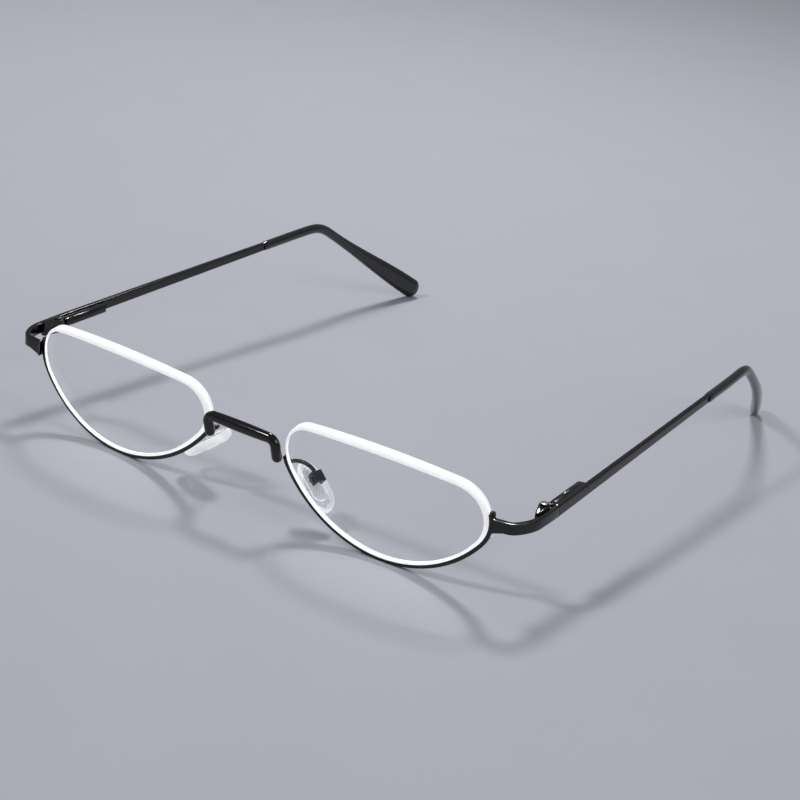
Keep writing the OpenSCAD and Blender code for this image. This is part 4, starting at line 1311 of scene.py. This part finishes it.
@dataclass
class Temples:
    """The flat temples with their core wires, and the plastic tips."""

    stance: Stance
    palette: Palette
    front_y: float = 2.25 * MM
    stock_in: float = 1.3 * MM
    stock_t: float = 1.2 * MM
    front_h: float = 2.7 * MM
    sleeve_h: float = 2 * MM
    sleeve_y: float = 78 * MM
    edge_r: float = 0.28 * MM
    wire_d: float = 1.1 * MM
    tip_l: float = 70.5 * MM
    straight: float = 18.5 * MM
    bend_l: float = 11 * MM
    bend_a: float = math.radians(34)
    turn_start: float = 6.5 * MM
    turn_a: float = math.radians(19.5)
    tip_front_h: float = 2.5 * MM
    tip_front_t: float = 2.2 * MM
    tip_end_h: float = 5.4 * MM
    tip_end_t: float = 2.8 * MM
    tip_round: float = 2.6 * MM
    lip: float = 0.5 * MM
    gap: float = 0.05 * MM
    steps: int = 72
    sides: int = 32
    core_share: float = 0.8
    end_bevel: float = 0.12 * MM
    arm_rings: tuple[float, ...] = (20 * MM, 40 * MM, 60 * MM)
    paddle_start: float = 0.45
    paddle_run: float = 0.5
    lip_share: float = 0.14
    least_end: float = 0.12
    stations: list[float] = field(default_factory=list)
    path: list[Vector] = field(default_factory=list)

    def build(self) -> None:
        """Builds both temples and tips."""
        self.lay_path()
        self.build_arm()
        self.build_tip()

    def direction(self, s: float) -> Vector:
        """Direction of the tip's middle line at a distance along it."""
        down = self.bend_a * ease((s - self.straight) / self.bend_l)
        turn = self.turn_a * ease((s - self.turn_start) / (self.tip_l - self.turn_start))
        return Vector((-math.cos(down) * math.sin(turn), math.cos(down) * math.cos(turn), -math.sin(down)))

    def lay_path(self) -> None:
        """Lays the tip's middle line: straight, then a bend down and a slow turn inwards."""
        run = self.tip_l - self.tip_round
        self.stations = sweep(0, run, self.steps)
        self.stations += [run + self.tip_round * math.sin(a) for a in sweep(0, math.pi / 2, 12)[1:]]
        point = Vector((self.stock_in + self.stock_t / 2, self.sleeve_y + self.gap, 0))
        self.path = [point]
        for here, there in zip(self.stations, self.stations[1:]):
            point = point + self.direction((here + there) / 2) * (there - here)
            self.path.append(point)

    def core_path(self) -> list[Vector]:
        """The stretch of the middle line that the core wire follows."""
        return self.path[: int(self.steps * self.core_share)]

    def build_arm(self) -> None:
        """Models the flat arm, which narrows to the core wire inside the tip."""
        middle = self.stock_in + self.stock_t / 2
        first = self.bar_ring(middle, self.front_y, self.front_h, self.end_bevel)
        rings = [first, self.bar_ring(middle, self.front_y + self.end_bevel, self.front_h, 0)]
        for y in (*self.arm_rings, self.sleeve_y):
            share = (y - self.front_y) / (self.sleeve_y - self.front_y)
            height = self.front_h + (self.sleeve_h - self.front_h) * share
            rings.append(self.bar_ring(middle, y, height, 0))
        core = self.core_path()
        wire = oval_rings(core, [(self.wire_d, self.wire_d)] * len(core), Vector((0, 0, 1)), len(first))
        quarter = len(first) // 4
        rings += [self.aligned(ring, quarter) for ring in wire]
        arm = loft("temple_arm_left_dressed", rings)
        dress(arm, self.palette.arm)
        hand_over_pair(arm, "temple_arm", Body.TEMPLE, Slot.METAL, self.stance.temple(), smooth=34)

    def bar_ring(self, middle: float, y: float, height: float, shrink: float) -> Ring:
        """Section of the arm, a rectangle with round corners."""
        radius = self.edge_r - shrink
        outline = rounded_outline(self.stock_t - 2 * shrink, height - 2 * shrink, radius, 5)
        return [Vector((middle + x, y, z)) for x, z in outline]

    def aligned(self, ring: Ring, quarter: int) -> Ring:
        """The wire's ring, numbered from the same side and the same way round as the arm's."""
        turned = [ring[(quarter - j) % len(ring)] for j in range(len(ring))]
        half = len(ring) // 2
        return turned if turned[0].x > turned[half].x else turned[half:] + turned[:half]

    def build_tip(self) -> None:
        """Models the tip as a sleeve over the core wire that ends in a paddle."""
        up = Vector((0, 0, 1))
        core = self.core_path()
        bore = self.wire_d + 2 * self.gap
        inner = oval_rings(core, [(bore, bore)] * len(core), up, self.sides)
        sizes = []
        for s in self.stations:
            grow = ease((s - self.paddle_start * self.tip_l) / (self.paddle_run * self.tip_l))
            mouth = 1 - self.lip_share + self.lip_share * round_end(s, self.lip, 0)
            k = round_end(self.tip_l - s, self.tip_round, self.least_end) * mouth
            height = self.tip_front_h + (self.tip_end_h - self.tip_front_h) * grow
            width = self.tip_front_t + (self.tip_end_t - self.tip_front_t) * grow
            sizes.append((height * k, width * k))
        outer = oval_rings(self.path, sizes, up, self.sides)
        tip = loft("temple_tip_left_dressed", list(reversed(inner)) + outer)
        dress(tip, self.palette.plastic)
        hand_over_pair(tip, "temple_tip", Body.TEMPLE, Slot.PLASTIC, self.stance.temple(), smooth=50)


# The studio


@dataclass(frozen=True)
class Lamp:
    """A square soft light that points at the glasses."""

    name: str
    place: tuple[float, float, float]
    size: float
    power: float
    tint: Colour = (1.0, 1.0, 1.0)

    def build(self, target: Vector) -> None:
        """Hangs the lamp."""
        lamp = bpy.data.lights.new(self.name, "AREA")
        lamp.shape = "SQUARE"
        lamp.size = self.size
        lamp.energy = self.power
        lamp.color = self.tint
        holder = bpy.data.objects.new(self.name, lamp)
        bpy.context.scene.collection.objects.link(holder)
        holder.location = self.place
        holder.rotation_euler = (target - Vector(self.place)).to_track_quat("-Z", "Y").to_euler()


@dataclass(frozen=True)
class Studio:
    """The pale table, the soft lamps and the camera at the photograph's angle."""

    table_colour: Colour = (0.42, 0.425, 0.475)
    table_size: float = 6.0
    fill_colour: Colour = (0.93, 0.96, 1.0)
    fill_level: float = 0.25
    camera_place: tuple[float, float, float] = (245.094, -434.198, 199.183)
    camera_azimuth: float = math.radians(30.203)
    camera_elevation: float = math.radians(21.297)
    camera_roll: float = math.radians(8.381)
    focal_length: float = 98.57
    aim: tuple[float, float, float] = (0.0, -0.02, 0.01)
    lamps: tuple[Lamp, ...] = (
        Lamp("key_lamp", (-0.23, 0.39, 0.6), 0.14, 2.7),
        Lamp("front_lamp", (-0.39, -0.58, 0.78), 0.14, 3.4),
        Lamp("side_lamp", (0.85, -0.1, 0.55), 0.5, 2.7, (0.97, 0.98, 1.0)),
    )

    def build(self) -> None:
        """Sets up the table, the lamps, the surroundings and the camera."""
        self.build_table()
        self.build_world()
        for lamp in self.lamps:
            lamp.build(Vector(self.aim))
        self.build_camera()
        bpy.context.scene.view_settings.view_transform = "Standard"

    def build_table(self) -> None:
        """Lays the table's plain pale top."""
        bpy.ops.object.select_all(action="DESELECT")
        bpy.ops.mesh.primitive_plane_add(size=self.table_size)
        table = bpy.context.object
        table.name = "table_top"
        paper = Finish("table_paper", self.table_colour, 0.7, drift=0.012, drift_size=30, relief=0.01 * MM)
        dress(table, paper.build())
        table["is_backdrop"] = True

    def build_world(self) -> None:
        """Lights the glasses from all round; the camera sees the table's own tone far away."""
        world = bpy.data.worlds.new("surroundings")
        bpy.context.scene.world = world
        world.use_nodes = True
        tree = world.node_tree
        fill = tree.nodes["Background"]
        fill.inputs["Color"].default_value = (*self.fill_colour, 1.0)
        fill.inputs["Strength"].default_value = self.fill_level
        far = add_node(tree, "ShaderNodeBackground", {"Color": (*self.table_colour, 1.0)})
        seen = add_node(tree, "ShaderNodeLightPath").outputs["Is Camera Ray"]
        parts = {"Fac": seen, 1: fill.outputs["Background"], 2: far.outputs["Background"]}
        mix = add_node(tree, "ShaderNodeMixShader", parts)
        tree.links.new(mix.outputs["Shader"], tree.nodes["World Output"].inputs["Surface"])

    def build_camera(self) -> None:
        """Sets the camera at the photograph's angle, rolled a little."""
        az, el = self.camera_azimuth, self.camera_elevation
        back = Vector((math.sin(az) * math.cos(el), -math.cos(az) * math.cos(el), math.sin(el)))
        right = Vector((math.cos(az), math.sin(az), 0))
        turn = Matrix((right, back.cross(right), back)).transposed().to_4x4()
        camera = bpy.data.cameras.new("camera")
        camera.lens = self.focal_length
        camera.sensor_width = 36
        camera.clip_start = 0.01
        holder = bpy.data.objects.new("camera", camera)
        bpy.context.scene.collection.objects.link(holder)
        place = Matrix.Translation(Vector(self.camera_place) * MM)
        holder.matrix_world = place @ turn @ Matrix.Rotation(self.camera_roll, 4, "Z")
        bpy.context.scene.camera = holder


@dataclass
class Glasses:
    """The whole pair: what its sub-assemblies share is worked out here."""

    frame: dict
    outline: HalfMoon = field(default_factory=HalfMoon)
    stance: Stance = field(default_factory=Stance)
    palette: Palette = field(default_factory=Palette)
    side_gap: float = 0.12 * MM
    pad_root_height: float = 0.6 * MM

    def build(self) -> None:
        """Builds every sub-assembly in order."""
        lenses = LensSet(self.outline, self.stance, self.palette)
        lenses.build()
        self.build_bridge(lenses)
        NosePads(self.stance, self.palette, self.frame, self.pad_root(lenses)).build()
        Hinges(self.stance, self.palette, self.frame, self.rim_side(lenses)).build()
        Temples(self.stance, self.palette).build()

    def build_bridge(self, lenses: LensSet) -> None:
        """Builds the bridge, with its legs just clear of the lenses and its feet on the rims."""
        turn = Matrix.Rotation(self.stance.lens_wrap, 4, "Z")
        nasal = self.outline.centres()["nasal"]
        side = turn @ self.outline.front(nasal.x - self.outline.nasal_radius, nasal.y)
        out = lenses.gap + lenses.rim_thickness
        rim = turn @ self.outline.beside(lenses.rim_line()[0], out / 2, -lenses.rim_width / 2)
        leg_x = self.stance.lens_x + side.x - self.side_gap - Bridge.bar_h / 2
        leg_end_y = rim.y - lenses.gap - Bridge.bar_w / 2
        Bridge(self.stance, self.palette, leg_x, leg_end_y).build()

    def pad_root(self, lenses: LensSet) -> Vector:
        """Where a pad's wire leaves the back of the rim, in the level frame."""
        start = self.outline.beside_nose(self.pad_root_height)
        out = (lenses.gap + lenses.rim_thickness) / 2
        place = self.outline.beside(start, out, lenses.rim_width / 2 + lenses.gap)
        return self.stance.worn().inverted() @ self.stance.lens() @ place

    def rim_side(self, lenses: LensSet) -> float:
        """How far out the rim reaches beside the temple, in the level frame."""
        corner = self.outline.centres()["temporal"]
        station = Arc(corner, self.outline.temporal_radius, 0, 0).station(0)
        place = self.outline.beside(station, lenses.gap + lenses.rim_thickness, -lenses.rim_width / 2)
        return (self.stance.worn().inverted() @ self.stance.lens() @ place).x


def corners(box: Iterable[Vector]) -> list[list[float]]:
    """A box's corners as plain lists."""
    return [[float(value) for value in corner] for corner in box]


def main() -> None:
    """Loads the frame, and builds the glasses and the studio."""
    logging.basicConfig(level=logging.INFO, format="%(message)s")
    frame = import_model()
    cad_box = corners(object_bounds())
    Glasses(frame).build()
    Studio().build()
    {"cad": cad_box, "visual": corners(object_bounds())}


if __name__ == "__main__":
    main()
